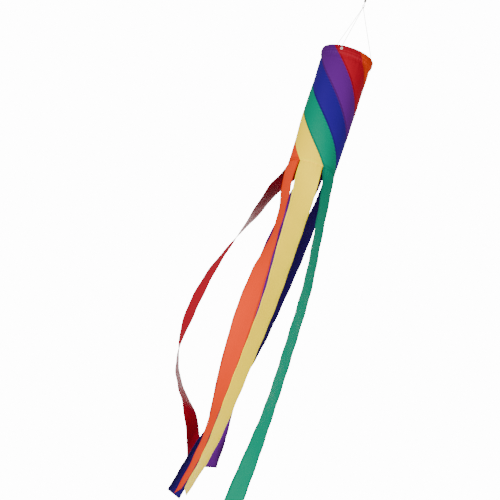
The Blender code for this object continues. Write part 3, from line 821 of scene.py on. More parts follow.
def stopper_knot(angle, hoop_radius):
    """A trefoil of cord, tied inside the hem behind an eyelet: its centre line is
    (sin t + 2 sin 2t, cos t - 2 cos 2t, -sin 3t), scaled to the knot's size."""
    inside = hoop_radius - FOLD_RADIUS - SOLID_CLOTH / 2 - EYELET_SEAT - EYELET_PLATE
    centre = around(angle, inside - CLEAR - STOPPER_RADIUS, HOOP_PLANE - EYELET_DROP)
    t = np.linspace(0, 2 * math.pi, 120, endpoint=False)
    scale = (STOPPER_RADIUS - CORD_RADIUS) / 3
    line = np.stack([np.sin(t) + 2 * np.sin(2 * t), np.cos(t) - 2 * np.cos(2 * t), -np.sin(3 * t)], axis=-1)
    radial = around(angle, 1.0, 0.0)
    across = around(angle + math.pi / 2, 1.0, 0.0)
    upward = np.array([0.0, 0.0, 1.0])
    path = centre + scale * (line[:, :1] * across + line[:, 1:2] * upward + line[:, 2:] * radial)
    return sweep(path, CORD_RADIUS * STOPPER_SQUEEZE, CORD_SIDES, radial, loop=True, relief=braid)


class WINDSOCK_OT_bridle(bpy.types.Operator):
    """Three braided cords from the knot over the rim into their eyelets, with stopper knots"""
    bl_idname = "windsock.build_bridle"
    bl_label = "Bridle cords"

    def execute(self, context):
        hoop_radius = context.scene.windsock_sizes.hoop_radius
        finish = cord_finish()
        route = soften(bridle_route(hoop_radius), 0.00024, 0.0010)
        for name, angle in EYELET_ANGLES.items():
            path = around(angle, route[:, 0], HOOP_PLANE + route[:, 1])
            side = around(angle + math.pi / 2, 1.0, 0.0)
            points, faces = sweep(path, CORD_RADIUS, CORD_SIDES, side, relief=braid)
            line = add_piece(f"braided_cord_{name}", [(points, faces, 0)], [finish])
            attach(line, "sock")
            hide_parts(f"bridle_line_{name}")
            points, faces = stopper_knot(angle, hoop_radius)
            knot = add_piece(f"tied_stopper_{name}", [(points, faces, 0)], [finish])
            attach(knot, "sock")
            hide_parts(f"stopper_knot_{name}")
        return {"FINISHED"}


class WINDSOCK_OT_knot(bpy.types.Operator):
    """The loop round the swivel's eye and the wound knot that gathers the three cords"""
    bl_idname = "windsock.build_knot"
    bl_label = "Gathering knot"

    def execute(self, context):
        low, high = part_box("bridle_knot")
        top = float(high[2])
        loop_centre = top - CORD_RADIUS - LOOP_RADIUS
        # the loop is a circle that narrows towards its lowest point
        t = np.linspace(0, 2 * math.pi, 110, endpoint=False)
        narrow = 1 - LOOP_NARROWING * soft_step(-np.cos(t - math.pi))**2 * (np.cos(t) > 0)
        loop_path = np.stack([
            LOOP_RADIUS * np.sin(t) * narrow, np.zeros_like(t), loop_centre - LOOP_RADIUS * np.cos(t),
        ], axis=-1)
        loop = sweep(loop_path, CORD_RADIUS, CORD_SIDES, (0, 1, 0), loop=True, relief=braid)
        middle = (float(low[2]) + loop_centre - LOOP_RADIUS) / 2
        # the wrap is a helix that swells at its middle, round a core of cord
        t = np.linspace(0, 1, 150)
        wind = 2 * math.pi * WRAP_TURNS * t
        reach = WRAP_RADIUS + WRAP_SWELL * np.sin(math.pi * t)
        coil_path = np.stack([
            reach * np.cos(wind), reach * np.sin(wind), middle + (t - 0.5) * WRAP_TURNS * WRAP_PITCH,
        ], axis=-1)
        ends = rounded_ends(CORD_RADIUS, coil_path)
        coil = sweep(coil_path, ends, CORD_SIDES, (0, 0, 1), relief=braid)
        core_profile = soften(
            [(0.0003, -0.0023), (0.0014, -0.0020), (0.0014, 0.0020), (0.0003, 0.0023)], 0.0002, 0.0008
        )
        core = turn(core_profile, (0, 0, middle), (0, 0, 1), 24)
        knot = add_piece(
            "wound_knot", [(*loop, 0), (*coil, 0), (*core, 0)], [cord_finish()]
        )
        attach(knot, "sock")
        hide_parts("bridle_knot")
        return {"FINISHED"}


# ---------------------------------------------------------------- sock

def section_path(hoop_radius):
    """(radius, drop, run) of the cloth's section: up the hem's inner layer, over the hoop, down
    the hem's outer layer and the tube. run is the length from the top of the fold."""
    neck = hoop_radius - NECK_IN
    bottom = neck - TAPER
    length = HOOP_PLANE - SEAM_HEIGHT
    fold = np.linspace(0, math.pi, 15)
    points = [(neck - INNER_EDGE, HEM_DEPTH), (neck - INNER_EDGE, 0.8 * HEM_DEPTH)]
    points.append((hoop_radius - FOLD_RADIUS, 0.3 * HEM_DEPTH))
    points += list(zip(hoop_radius - FOLD_RADIUS * np.cos(fold), -FOLD_RADIUS * np.sin(fold)))
    points += [
        (hoop_radius + FOLD_RADIUS, 0.4 * HEM_DEPTH),
        (hoop_radius + FOLD_RADIUS - HEM_DIP, 0.70 * HEM_DEPTH),
        (neck, 0.90 * HEM_DEPTH),
        (neck - 0.0006, HEM_DEPTH + 0.0015),
        (neck + 0.0004, HEM_DEPTH + 0.0100),
        (neck, HEM_DEPTH + 0.0300),
        (bottom, length),
    ]
    fine = soften(points, SECTION_STEP, 0.0022)
    run = run_lengths(fine)
    top = int(np.argmin(fine[:, 1]))
    return fine[:, 0], fine[:, 1], run - run[top]


def panel_relief(angle, run, across, drop, width, length):
    """Height of the cloth above its section: gathers at the hem's stitches and the spiral
    seams, a slight billow between seams, soft folds, the folded seam and the bottom band."""
    sizes = bpy.context.scene.windsock_sizes
    outside = soft_step(run / 0.004)
    hem_gathers = np.cos(HEM_GATHERS * angle + 1.3 * np.sin(5 * angle))
    hem_gathers = hem_gathers * np.exp(-((drop - HEM_STITCH_DROP) / HEM_GATHER_REACH) ** 2)
    below = np.clip(drop - HEM_DEPTH, 0, None)
    gathers = (np.sin(23 * angle + 2 * np.sin(3 * angle)) + 0.6 * np.sin(37 * angle + 1.0))
    gathers = gathers * np.exp(-below / GATHER_FADE) * soft_step(below / GATHER_START)
    from_edge = (1 - np.abs(across)) * width / 2
    seam_gathers = np.cos(2 * math.pi * run / SEAM_PUCKER_PITCH + np.sin(run / 0.021))
    seam_gathers = seam_gathers * np.exp(-from_edge / SEAM_PUCKER_REACH)
    billow = BILLOW * (1 - across**2) * soft_step(below / BILLOW_START)
    share = np.clip(drop / length, 0, 1)
    folds = np.sin(2 * angle + 7 * share + 0.6) + 0.55 * np.sin(5 * angle - 9 * share + 1.9)
    folds = folds * sizes.drape * np.sin(math.pi * share) ** 0.7
    fell = FELL_RISE * soft_step((FELL_WIDTH - (1 + across) * width / 2) / 0.0008 + 0.5)
    to_bottom = length - drop
    band = BAND_RISE * soft_step((BOTTOM_BAND - to_bottom) / 0.0010 + 0.5)
    groove = -BAND_GROOVE * np.exp(-((to_bottom - BOTTOM_BAND + 0.0012) / 0.0009) ** 2)
    ridge, dip = CREASE_DROPS
    crease = np.exp(-((drop - ridge) / 0.0012) ** 2) - np.exp(-((drop - dip) / 0.0016) ** 2)
    hem_pleats = np.sin(31 * angle + 40 * drop) * np.exp(-((drop - PLEAT_DROP) / 0.009) ** 2)
    return outside * (
        1.4 * sizes.pucker * hem_gathers + 1.1 * sizes.pucker * gathers
        + sizes.pucker * seam_gathers * soft_step(below / 0.01)
        + billow + folds + fell + band + groove + CREASE_RISE * crease + PLEAT_RISE * hem_pleats
    )


def from_eyelets(points):
    """Distance of every point from the nearest eyelet's axis, on the eyelet's own side."""
    nearest = np.full(points.shape[:-1], 1.0)
    centre = np.array([0.0, 0.0, HOOP_PLANE - EYELET_DROP])
    for angle in EYELET_ANGLES.values():
        way = around(angle, 1.0, 0.0)
        offset = points - centre
        ahead = offset @ way
        apart = np.linalg.norm(offset - ahead[..., None] * way, axis=-1)
        nearest = np.where(ahead > 0, np.minimum(nearest, apart), nearest)
    return nearest


def panel_parts(index, hoop_radius):
    """Cloth and stitches of one panel. A point's angle is the panel's middle at the rim, plus
    the twist in proportion to the run down the section, plus its place across the panel. The
    far edge runs on a little, under the next panel's fold."""
    radius, drop, run = section_path(hoop_radius)
    length = HOOP_PLANE - SEAM_HEIGHT
    across = np.append(np.linspace(-1, 1, PANEL_COLUMNS + 1), 1 + PANEL_LAP)
    middle = PANEL_START + 2 * HALF_PANEL * index + TWIST * run / run[-1]
    angle = middle[:, None] + across[None] * HALF_PANEL
    width = 2 * HALF_PANEL * radius[:, None]
    slope = np.stack([np.gradient(radius), -np.gradient(drop)], axis=-1)
    slope = unit(slope)
    rise = panel_relief(angle, run[:, None], across[None], drop[:, None], width, length)
    out_radius = radius[:, None] - slope[:, 1:] * rise
    out_height = HOOP_PLANE - drop[:, None] + slope[:, :1] * rise
    points = around(angle, out_radius, out_height)
    apart = from_eyelets(points)
    dimple = EYELET_DIMPLE * np.exp(-(apart / EYELET_DIMPLE_REACH) ** 2)
    points = points + around(angle, -dimple, 0.0)
    centres = (apart[1:, 1:] + apart[1:, :-1] + apart[:-1, 1:] + apart[:-1, :-1]) / 4
    cloth, faces, used = shell(points, CLOTH_THICK, centres > EYELET_HOLE + EYELET_WALL + 0.0002)
    arc = (across[None] * width / 2) * np.ones_like(run)[:, None]
    place = np.stack([arc, run[:, None] * np.ones_like(arc)], axis=-1).reshape(-1, 2)[used]
    # Layers of cloth: one, two at the hem and bottom band, three at the folded seam. The cloth's finish
    # turns extra layers into painted shade on dark cloth and painted light on pale cloth.
    doubled = 1 + 1.0 * (drop < HEM_DEPTH)[:, None] + 2.0 * ((1 + across[None]) * width / 2 < FELL_WIDTH)
    doubled = doubled + 1.0 * (length - drop < BOTTOM_BAND)[:, None]
    layer = np.clip(doubled, 1, 3).reshape(-1)[used]
    parts = [(cloth, faces, 0, place, layer)]
    normal = grid_normals(points)
    tube = np.flatnonzero(drop > HEM_DEPTH)
    tube = tube[run[tube] > 0]
    for edge in (0.0012, 0.0042):
        column = -1 + 2 * edge / np.mean(width)
        j = int(round((column + 1) / 2 * PANEL_COLUMNS))
        parts.append((*stitches_on(points, normal, tube, j), 1))
    hem_row = int(np.argmin(np.where(run > 0, np.abs(drop - HEM_STITCH_DROP), 9)))
    for row in (hem_row, row_above_bottom(drop, length, 0.003), row_above_bottom(drop, length, 0.0075)):
        line = points[row] + normal[row] * STITCH_LIFT
        parts.append((*stitch_row(line, np.gradient(line, axis=0), normal[row]), 1))
    return parts


def row_above_bottom(drop, length, height):
    """The grid row nearest a height above the sock's bottom edge."""
    return int(np.argmin(np.abs(drop - (length - height))))


def stitches_on(points, normal, rows, column):
    """A row of stitches down one column of a grid."""
    out = normal[rows, column]
    line = points[rows, column] + out * STITCH_LIFT
    return stitch_row(line, np.gradient(line, axis=0), out)


class WINDSOCK_OT_panels(bpy.types.Operator):
    """The six sewn cloth panels that wind round the sock, with their hem over the hoop"""
    bl_idname = "windsock.build_panels"
    bl_label = "Spiral panels"

    def execute(self, context):
        hoop_radius = context.scene.windsock_sizes.hoop_radius
        for index, colour in enumerate(COLOURS):
            parts = panel_parts(index, hoop_radius)
            panel = add_piece(f"cloth_panel_{colour}", parts, cloth_finishes(colour))
            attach(panel, "sock")
            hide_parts(f"panel_{colour}")
        return {"FINISHED"}


# ---------------------------------------------------------------- tails

def smooth_route(stations, shares):
    """Values at shares along stations: cubics through each one, level at the first."""
    knots = np.array([s[0] for s in stations])
    values = np.array([s[1:] for s in stations])
    slopes = np.zeros_like(values)
    slopes[1:-1] = (values[2:] - values[:-2]) / (knots[2:] - knots[:-2])[:, None]
    slopes[-1] = (values[-1] - values[-2]) / (knots[-1] - knots[-2])
    left = np.clip(np.searchsorted(knots, shares, side="right") - 1, 0, len(knots) - 2)
    width = (knots[left + 1] - knots[left])[:, None]
    t = (shares[:, None] - knots[left][:, None]) / width
    return (
        (2 * t**3 - 3 * t**2 + 1) * values[left]
        + (t**3 - 2 * t**2 + t) * width * slopes[left]
        + (3 * t**2 - 2 * t**3) * values[left + 1]
        + (t**3 - t**2) * width * slopes[left + 1]
    )


def seam_angle(colour):
    """Angle of a panel's middle at the bottom: its place at the rim plus the whole twist."""
    return PANEL_START + 2 * HALF_PANEL * COLOURS.index(colour) + TWIST


def tail_grid(colour, hoop_radius):
    """The ribbon's middle surface. Its centre follows the route, whose height falls by what is
    left of each step of ribbon after the sideways move; its width lies along the route's
    facing and, near the seam, follows the seam's arc. It starts sewn in behind the band."""
    bottom = hoop_radius - NECK_IN - TAPER
    width = 2 * HALF_PANEL * bottom - TAIL_NOTCH
    start_angle = seam_angle(colour)
    turns = round((math.degrees(start_angle) - TAIL_ROUTES[colour][0][3]) / 360)
    start = around(start_angle, bottom, 0.0)
    stations = [(0.0, start[0], start[1], math.degrees(start_angle) - 360 * turns)] + TAIL_ROUTES[colour]
    shares = np.linspace(0, 1, TAIL_ROWS + 1)
    route = smooth_route(stations, shares)
    step = TAIL_LENGTH / TAIL_ROWS
    moved = np.hypot(*np.diff(route[:, :2], axis=0).T)
    drops = np.concatenate([[0], np.cumsum(np.sqrt(np.maximum(step**2 - moved**2, 0)))])
    tuck = np.arange(-int(round(TAIL_TUCK / step)) - 1, 0) * step
    count = len(tuck)
    run = np.concatenate([tuck, shares * TAIL_LENGTH])
    route = np.vstack([np.repeat(route[:1], count, axis=0), route])
    height = SEAM_HEIGHT - SEAM_CLEAR - np.concatenate([tuck, drops])
    facing = np.radians(route[:, 2])
    inside = TUCK_IN * soft_step(1 - run / 0.004)
    offset = np.linspace(-0.5, 0.5, TAIL_COLUMNS + 1) * width
    round_share = np.clip(1 - np.clip(run, 0, None) / SEAM_BLEND, 0, 1) ** 2
    bend = offset / bottom
    sideways = offset[None] + round_share[:, None] * bottom * (np.sin(bend) - bend)[None]
    inward = round_share[:, None] * bottom * (1 - np.cos(bend))[None] + inside[:, None]
    x = route[:, :1] + np.cos(facing)[:, None] * sideways - np.sin(facing)[:, None] * inward
    y = route[:, 1:2] + np.sin(facing)[:, None] * sideways + np.cos(facing)[:, None] * inward
    return np.stack([x, y, height[:, None] * np.ones_like(x)], axis=-1), run, offset, width


def tail_relief(run, offset, width, phase):
    """Height of the ribbon above its middle surface: hemmed edges, the slow wave that a sewn
    edge gives a ribbon, a slight cupping, and gathers under the seam."""
    across = 2 * offset / width
    from_edge = width / 2 - np.abs(offset)
    hem = TAIL_HEM_RISE * soft_step((TAIL_HEM - from_edge) / 0.0008 + 0.5)
    end_hem = TAIL_HEM_RISE * soft_step((TAIL_HEM - (run[-1] - run)) / 0.0008 + 0.5)
    along = 2 * math.pi * run
    wave = EDGE_WAVE * across**2 * np.sin(along / EDGE_WAVE_PITCH + phase + 1.1 * np.sign(across))
    cup = CUP * (across**2 - 0.33) * np.sin(along / CUP_PITCH + 2 * phase)
    gathers = TAIL_GATHER * np.cos(2 * math.pi * offset / TAIL_GATHER_PITCH + phase)
    gathers = gathers * np.exp(-np.abs(run - 0.004) / 0.016)
    puckers = TAIL_PUCKER * np.cos(along / TAIL_PUCKER_PITCH + 3 * phase) * np.exp(-from_edge / 0.005)
    released = soft_step(run / 0.02)
    return hem + end_hem + released * (wave + cup + puckers) + gathers * (run > 0)


def outer_normals(grid, colour):
    """Normals of a ribbon's outer face: those of its grid, turned to look away from the sock
    at the seam."""
    normal = grid_normals(grid)
    away = around(seam_angle(colour), 1.0, 0.0)
    return normal * np.sign(np.mean(np.sum(normal[:8] * away, axis=-1)))


def tail_parts(colour, hoop_radius):
    """Cloth and stitches of one ribbon: its middle surface raised by its relief."""
    grid, run, offset, width = tail_grid(colour, hoop_radius)
    phase = 1.7 * COLOURS.index(colour)
    normal = outer_normals(grid, colour)
    points = grid + normal * tail_relief(run[:, None], offset[None], width, phase)[..., None]
    cloth, faces, used = shell(points, CLOTH_THICK)
    place = np.stack(np.broadcast_arrays(offset[None], run[:, None]), axis=-1).reshape(-1, 2)[used]
    # Hemmed edges and the hemmed end count as doubled cloth, which the finish turns into painted shade on
    # dark cloth and painted light on pale cloth.
    edge = (width / 2 - np.abs(offset))[None] < TAIL_HEM
    end = (run[-1] - run)[:, None] < TAIL_HEM
    layer = (1.0 + 1.6 * (edge | end)).reshape(-1)[used]
    parts = [(cloth, faces, 0, place, layer)]
    normal = outer_normals(points, colour)
    rows = np.flatnonzero(run > TAIL_STITCH_INSET)
    inset = int(round(TAIL_STITCH_INSET / width * TAIL_COLUMNS))
    for column in (inset, TAIL_COLUMNS - inset):
        parts.append((*stitches_on(points, normal, rows, column), 1))
    last = int(np.argmin(np.abs(run - (run[-1] - TAIL_STITCH_INSET))))
    out = normal[last, inset:-inset]
    line = points[last, inset:-inset] + out * STITCH_LIFT
    parts.append((*stitch_row(line, np.gradient(line, axis=0), out), 1))
    return parts, width


class WINDSOCK_OT_tails(bpy.types.Operator):
    """The six hemmed ribbon tails, sewn in behind the sock's bottom band"""
    bl_idname = "windsock.build_tails"
    bl_label = "Ribbon tails"

    def execute(self, context):
        hoop_radius = context.scene.windsock_sizes.hoop_radius
        for colour in COLOURS:
            parts, width = tail_parts(colour, hoop_radius)
            tail = add_piece(f"ribbon_{colour}", parts, cloth_finishes(colour))
            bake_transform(tail)
            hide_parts(f"tail_{colour}")
        return {"FINISHED"}


# ---------------------------------------------------------------- hoop and eyelets

class WINDSOCK_OT_hoop(bpy.types.Operator):
    """The plastic rod inside the hem and the crimped ferrule that joins its ends"""
    bl_idname = "windsock.build_hoop"
    bl_label = "Hoop"

    def execute(self, context):
        hoop_radius = context.scene.windsock_sizes.hoop_radius
        low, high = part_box("hoop_rod")
        rod_radius = float(high[2] - low[2]) / 2
        ferrule = middle_of("hoop_ferrule")
        joint = math.atan2(ferrule[0], -ferrule[1])
        gap = CLEAR / 2 / hoop_radius
        angle = np.linspace(joint + gap, joint + 2 * math.pi - gap, 400)
        path = around(angle, hoop_radius, HOOP_PLANE)
        rod = add_piece(
            "hoop_plastic_rod", [(*sweep(path, rod_radius, 18, (0, 0, 1)), 0)],
            [white_gloss("drawn_white_plastic", linear("#E4E2DC"), 0.35)],
        )
        inner = rod_radius + CLEAR
        outer = inner + FERRULE_WALL
        half = FERRULE_HALF
        profile = soften([
            (inner, -half), (outer, -half), (outer, -0.4 * half), (outer - CRIMP_DEPTH, -0.2 * half),
            (outer, 0), (outer - CRIMP_DEPTH, 0.2 * half), (outer, 0.4 * half), (outer, half),
            (inner, half),
        ], 0.00012, 0.00024, closed=True)
        along = (math.cos(joint), math.sin(joint), 0)
        tube = turn(profile, around(joint, hoop_radius, HOOP_PLANE), along, 36, loop=True)
        sleeve = add_piece("crimped_ferrule", [(*tube, 0)], [metal_finish()])
        for piece, node, slot in ((rod, "hoop_rod", "hoop"), (sleeve, "hoop_ferrule", "metal")):
            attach(piece, "sock")
            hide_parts(node)
        return {"FINISHED"}


class WINDSOCK_OT_eyelets(bpy.types.Operator):
    """Three white enamelled eyelets, each rolled over both faces of the hem"""
    bl_idname = "windsock.build_eyelets"
    bl_label = "Eyelets"

    def execute(self, context):
        hoop_radius = context.scene.windsock_sizes.hoop_radius
        inner = hoop_radius - FOLD_RADIUS - SOLID_CLOTH / 2 - EYELET_SEAT
        outer = hoop_radius + FOLD_RADIUS + SOLID_CLOTH / 2 + CLEAR
        low, high = inner - EYELET_PLATE, outer + EYELET_PLATE
        barrel = EYELET_HOLE + EYELET_WALL
        profile = soften([
            (EYELET_HOLE, low), (EYELET_FLANGE, low), (EYELET_FLANGE, inner), (barrel, inner),
            (barrel, outer), (EYELET_FLANGE - 0.0004, outer - 0.0003), (EYELET_FLANGE, outer + 0.0001),
            (EYELET_FLANGE - 0.0006, high), (EYELET_HOLE + 0.0003, high - 0.0001), (EYELET_HOLE, outer),
        ], 0.00012, 0.00030, closed=True)
        finish = white_gloss("white_enamel", linear("#F2F1ED"), 0.22)
        for name, angle in EYELET_ANGLES.items():
            centre = (0, 0, HOOP_PLANE - EYELET_DROP)
            way = around(angle, 1.0, 0.0)
            eyelet = add_piece(
                f"rolled_eyelet_{name}", [(*turn(profile, centre, way, 48, loop=True), 0)], [finish]
            )
            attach(eyelet, "sock")
            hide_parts(f"eyelet_{name}")
        return {"FINISHED"}


# ---------------------------------------------------------------- swivel and clip

def metal_piece(name, parts, body, node):
    """A plated piece that rides its body and stands for its node."""
    piece = add_piece(name, [(*part, 0) for part in parts], [metal_finish()])
    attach(piece, body)
    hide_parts(node)
    return piece


def eye_parts(middle, way):
    """A round wire eye, its turned shank and the wire's helical twist round it; way points from
    the eye into the barrel."""
    t = np.linspace(0, 2 * math.pi, 90, endpoint=False)
    path = np.stack([np.zeros_like(t), EYE_RADIUS * np.cos(t), middle + EYE_RADIUS * np.sin(t)], axis=-1)
    eye = sweep(path, EYE_WIRE, 20, (1, 0, 0), loop=True)
    half = BARREL_LENGTH / 2
    mouth = BARREL_MIDDLE - way * half
    start = middle + way * EYE_RADIUS
    head = mouth + way * EYE_COLLAR_DEPTH
    length = abs(head - start)
    profile = soften([
        (0.0002, 0.0), (EYE_WIRE, 0.0), (EYE_WIRE, length - 0.0005),
        (EYE_COLLAR, length - 0.0005), (EYE_COLLAR, length + 0.0005), (0.0002, length + 0.0005),
    ], 0.00012, 0.00024)
    shank = turn(profile, (0, 0, start), (0, 0, way), 28)
    t = np.linspace(0, 1, 90)
    wind = 2 * math.pi * TWIST_TURNS * t
    reach = EYE_WIRE + TWIST_WIRE * 0.6
    coil_path = np.stack([
        reach * np.cos(wind), reach * np.sin(wind), start + way * (EYE_WIRE + t * TWIST_RISE),
    ], axis=-1)
    coil = sweep(coil_path, rounded_ends(TWIST_WIRE, coil_path), 12, (0, 0, 1))
    return [eye, shank, coil]


class WINDSOCK_OT_swivel(bpy.types.Operator):
    """The barrel swivel: two wire eyes that turn in a rolled barrel"""
    bl_idname = "windsock.build_swivel"
    bl_label = "Barrel swivel"

    def execute(self, context):
        upper = float(middle_of_eye("swivel_upper_eye", 1))
        lower = float(middle_of_eye("swivel_lower_eye", -1))
        metal_piece("wire_eye_upper", eye_parts(upper, -1), "upper_eye", "swivel_upper_eye")
        metal_piece("wire_eye_lower", eye_parts(lower, 1), "lower_eye", "swivel_lower_eye")
        half = BARREL_LENGTH / 2
        hole = EYE_WIRE + CLEAR
        inside = BARREL_RADIUS - BARREL_WALL
        profile = soften([
            (hole, -half), (BARREL_WAIST, -half),
            (BARREL_RADIUS, -0.64 * half), (BARREL_RADIUS, -0.36 * half),
            (BARREL_RADIUS - 0.0003, -0.28 * half), (BARREL_RADIUS, -0.20 * half),
            (BARREL_RADIUS, 0.20 * half), (BARREL_RADIUS - 0.0003, 0.28 * half),
            (BARREL_RADIUS, 0.36 * half), (BARREL_RADIUS, 0.64 * half), (BARREL_WAIST, half), (hole, half),
            (hole, half - 0.0007), (inside, half - 0.0016),
            (inside, -half + 0.0016), (hole, -half + 0.0007),
        ], 0.00016, 0.00040, closed=True)
        barrel = turn(profile, (0, 0, BARREL_MIDDLE), (0, 0, 1), 56, loop=True)
        metal_piece("rolled_barrel", [barrel], "barrel", "swivel_barrel")
        return {"FINISHED"}


def middle_of_eye(node, way):
    """Height of an eye's centre: its radius in from the node's outer end."""
    low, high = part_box(node)
    end = high[2] if way > 0 else low[2]
    return end - way * (EYE_RADIUS + EYE_WIRE)


def plate(outline, start, end, bevel):
    """A flat piece whose outline in x and z is carried across y, drawn in by the bevel at both
    faces."""
    outline = np.asarray(outline, float)
    centre = outline.mean(0)
    inward = outline + unit(centre - outline) * bevel
    steps = [(inward, start), (outline, start + bevel), (outline, end - bevel), (inward, end)]
    rings = np.stack([
        np.stack([ring[:, 0], np.full(len(ring), y), ring[:, 1]], axis=-1) for ring, y in steps
    ])
    return skin(rings)


def rounded_oblong(centre, width, height, corner):
    """A rectangle with round corners, turning so that a plate across +Y faces outwards."""
    half = np.array([width / 2 - corner, height / 2 - corner])
    t = np.linspace(0, 2 * math.pi, 48, endpoint=False) + 0.03
    way = np.stack([np.cos(t), -np.sin(t)], axis=-1)
    return np.asarray(centre) + np.sign(way) * half + corner * way


class WINDSOCK_OT_clip(bpy.types.Operator):
    """The spring clip: a bent wire hook with a forked end, its gate and the gate's rivet"""
    bl_idname = "windsock.build_clip"
    bl_label = "Spring clip"

    def execute(self, context):
        upper = CLIP_WIRE - CLIP_BEND
        lower = CLIP_REST + CLIP_BEND
        pivot_x, _, pivot_z = GATE_PIVOT
        nose = upper - NOSE_DROP
        over = np.linspace(0, math.pi, 60)
        top = np.stack([CLIP_BEND * np.cos(over), upper + CLIP_BEND * np.sin(over)], axis=-1)
        low = np.stack([-CLIP_BEND * np.cos(over), lower - CLIP_BEND * np.sin(over)], axis=-1)
        line = np.vstack([[(CLIP_BEND, nose)], top, low, [(CLIP_BEND, lower + 0.0008)]])
        line = soften(line, 0.0003, 0.0012)
        path = np.stack([line[:, 0], np.zeros(len(line)), line[:, 1]], axis=-1)
        wire = sweep(path, rounded_ends(CLIP_WIRE, path), 28, (0, 1, 0))
        fork_middle = pivot_z - FORK_DROP
        inner = GATE_BOSS / 2 + CLEAR
        ear = rounded_oblong((pivot_x, fork_middle), FORK_SIZE, FORK_HEIGHT, 0.0019)
        ears = [
            plate(ear, inner, FORK_WIDTH / 2, 0.0003),
            plate(ear, -FORK_WIDTH / 2, -inner, 0.0003),
        ]
        base_height = pivot_z - FORK_SIZE / 2 - (fork_middle - FORK_HEIGHT / 2)
        base_middle = fork_middle - FORK_HEIGHT / 2 + base_height / 2
        base = plate(
            rounded_oblong((pivot_x, base_middle), FORK_SIZE * 0.94, base_height, 0.0004),
            -FORK_WIDTH / 2 + 0.0001, FORK_WIDTH / 2 - 0.0001, 0.0003,
        )
        metal_piece("bent_wire_hook", [wire, *ears, base], "clip", "clip_hook")
        top_end = nose - CLEAR
        reach = top_end - pivot_z
        arm = turn(
            soften(
                [(0.0001, 0), (GATE_ARM, 0), (GATE_ARM, reach - 0.0002), (0.0001, reach)],
                0.0002, 0.0006,
            ),
            (pivot_x, 0, pivot_z), (0, 0, 1), 28,
        )
        boss_radius = FORK_SIZE / 2 - CLEAR
        hole = PIN_RADIUS + CLEAR / 2
        boss = turn(
            soften([
                (hole, -GATE_BOSS / 2), (boss_radius, -GATE_BOSS / 2), (boss_radius, GATE_BOSS / 2),
                (hole, GATE_BOSS / 2),
            ], 0.00016, 0.0004, closed=True),
            (pivot_x, 0, pivot_z), (0, 1, 0), 40, loop=True,
        )
        metal_piece("sprung_gate", [arm, boss], "gate", "clip_gate")
        half = FORK_WIDTH / 2
        rivet = turn(
            soften([
                (0.0001, -half - 0.0006), (0.0010, -half - 0.0003), (0.0011, -half),
                (PIN_RADIUS, -half + 0.0001), (PIN_RADIUS, half - 0.0001),
                (0.0011, half), (0.0010, half + 0.0003), (0.0001, half + 0.0006),
            ], 0.00012, 0.00024),
            (pivot_x, 0, pivot_z), (0, 1, 0), 32,
        )
        metal_piece("gate_rivet", [rivet], "clip", "gate_pin")
        return {"FINISHED"}


# ---------------------------------------------------------------- stage

class WINDSOCK_OT_camera(bpy.types.Operator):
    """The camera, which looks up at the windsock from below its front"""
    bl_idname = "windsock.place_camera"
    bl_label = "Camera"

    def execute(self, context):
        stage = context.scene.windsock_stage
        target = np.array([AIM_RIGHT, 0.0, HOOP_PLANE - AIM_DROP])
        back = np.array([0.0, -math.cos(stage.elevation), math.sin(stage.elevation)])
        level_right = np.array([1.0, 0.0, 0.0])
        level_up = np.cross(back, level_right)
        right = math.cos(stage.roll) * level_right + math.sin(stage.roll) * level_up
        up = math.cos(stage.roll) * level_up - math.sin(stage.roll) * level_right
        lens = bpy.data.cameras.new("camera")
        lens.sensor_width = 36.0
        lens.lens = lens.sensor_width * stage.distance / stage.view_size
        lens.clip_end = 100.0
        camera = bpy.data.objects.new("camera", lens)
        place = target + back * stage.distance
        rows = np.vstack([np.stack([right, up, back, place], axis=-1), [0, 0, 0, 1]])
        camera.matrix_world = Matrix(rows.tolist())
        context.scene.collection.objects.link(camera)
        context.scene.camera = camera
        return {"FINISHED"}


def add_area_light(name, place, target, size, power):
    """A round soft light that looks from its place to its target."""
    light = bpy.data.lights.new(name, "AREA")
    light.shape = "DISK"
    light.size = size
    light.energy = power
    item = bpy.data.objects.new(name, light)
    back = unit(np.array(place, float) - np.array(target, float))
    right = unit(np.cross([0.0, 0.0, 1.0], back))
    up = np.cross(back, right)
    rows = np.vstack([np.stack([right, up, back, np.array(place, float)], axis=-1), [0, 0, 0, 1]])
    item.matrix_world = Matrix(rows.tolist())
    bpy.context.scene.collection.objects.link(item)


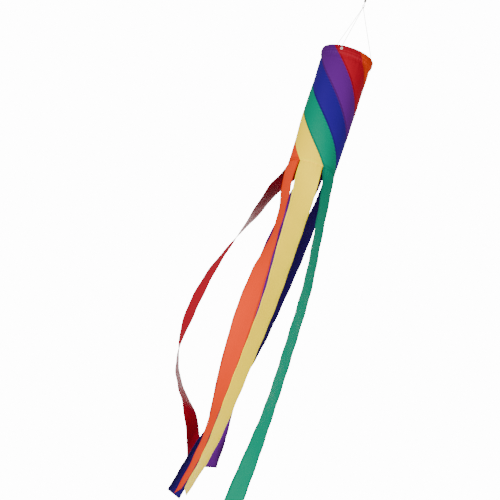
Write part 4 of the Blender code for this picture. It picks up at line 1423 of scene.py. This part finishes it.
class WINDSOCK_OT_stage(bpy.types.Operator):
    """A pale floor far below the hanging object, white surroundings and soft lights"""
    bl_idname = "windsock.build_stage"
    bl_label = "Stage"

    def execute(self, context):
        floor_height = CAD_BOX[0][2] - FLOOR_DROP
        span = np.linspace(-FLOOR_REACH, FLOOR_REACH, FLOOR_LINES)
        x, y = np.meshgrid(span, span)
        points = np.stack([x, y, np.full_like(x, floor_height)], axis=-1).reshape(-1, 3)
        quads = grid_quads(FLOOR_LINES, FLOOR_LINES)
        floor = add_piece("floor", [(points, [quads], 0)], [pale_floor("matt_studio_paint")])
        world = bpy.data.worlds.new("white_surroundings")
        world.use_nodes = True
        tree = world.node_tree
        tree.nodes.clear()
        ray = add_node(tree, "ShaderNodeLightPath", {}, {})
        strength = add_node(
            tree, "ShaderNodeMapRange", {},
            {"Value": ray.outputs["Is Camera Ray"], "To Min": SKY_LIGHT, "To Max": SKY_SEEN},
        )
        sky = add_node(
            tree, "ShaderNodeBackground", {},
            {"Color": (1, 1, 1, 1), "Strength": strength.outputs["Result"]},
        )
        add_node(tree, "ShaderNodeOutputWorld", {}, {"Surface": sky.outputs["Background"]})
        context.scene.world = world
        middle = (CAD_BOX[0][2] + CAD_BOX[1][2]) / 2
        power = context.scene.windsock_stage.key_power
        for name, (x, y, drop, size, share) in LIGHTS.items():
            height = middle - drop
            add_area_light(name, (x, y, height), (0.0, 0.0, height), size, power * share)
        return {"FINISHED"}


# ---------------------------------------------------------------- add-on

OPERATORS = (
    WINDSOCK_OT_camera, WINDSOCK_OT_bridle, WINDSOCK_OT_knot, WINDSOCK_OT_panels, WINDSOCK_OT_tails,
    WINDSOCK_OT_hoop, WINDSOCK_OT_eyelets, WINDSOCK_OT_swivel, WINDSOCK_OT_clip, WINDSOCK_OT_stage,
)


class VIEW3D_PT_windsock(bpy.types.Panel):
    """Sizes, colours and the steps that build the windsock"""
    bl_idname = "VIEW3D_PT_windsock"
    bl_label = "Garden Windsock"
    bl_space_type = "VIEW_3D"
    bl_region_type = "UI"
    bl_category = "Windsock"

    def draw(self, context):
        scene = context.scene
        for settings in (scene.windsock_sizes, scene.windsock_colours, scene.windsock_stage):
            box = self.layout.box()
            for name in settings.__annotations__:
                box.prop(settings, name)
        for operator in OPERATORS:
            self.layout.operator(operator.bl_idname)


CLASSES = (WindsockSizes, WindsockColours, WindsockStage, *OPERATORS, VIEW3D_PT_windsock)


def register():
    for item in CLASSES:
        bpy.utils.register_class(item)
    bpy.types.Scene.windsock_sizes = bpy.props.PointerProperty(type=WindsockSizes)
    bpy.types.Scene.windsock_colours = bpy.props.PointerProperty(type=WindsockColours)
    bpy.types.Scene.windsock_stage = bpy.props.PointerProperty(type=WindsockStage)


def unregister():
    del bpy.types.Scene.windsock_stage
    del bpy.types.Scene.windsock_colours
    del bpy.types.Scene.windsock_sizes
    for item in reversed(CLASSES):
        bpy.utils.unregister_class(item)


def main():
    register()
    for operator in OPERATORS:
        group, action = operator.bl_idname.split(".")
        getattr(getattr(bpy.ops, group), action)()


if __name__ == "__main__":
    main()
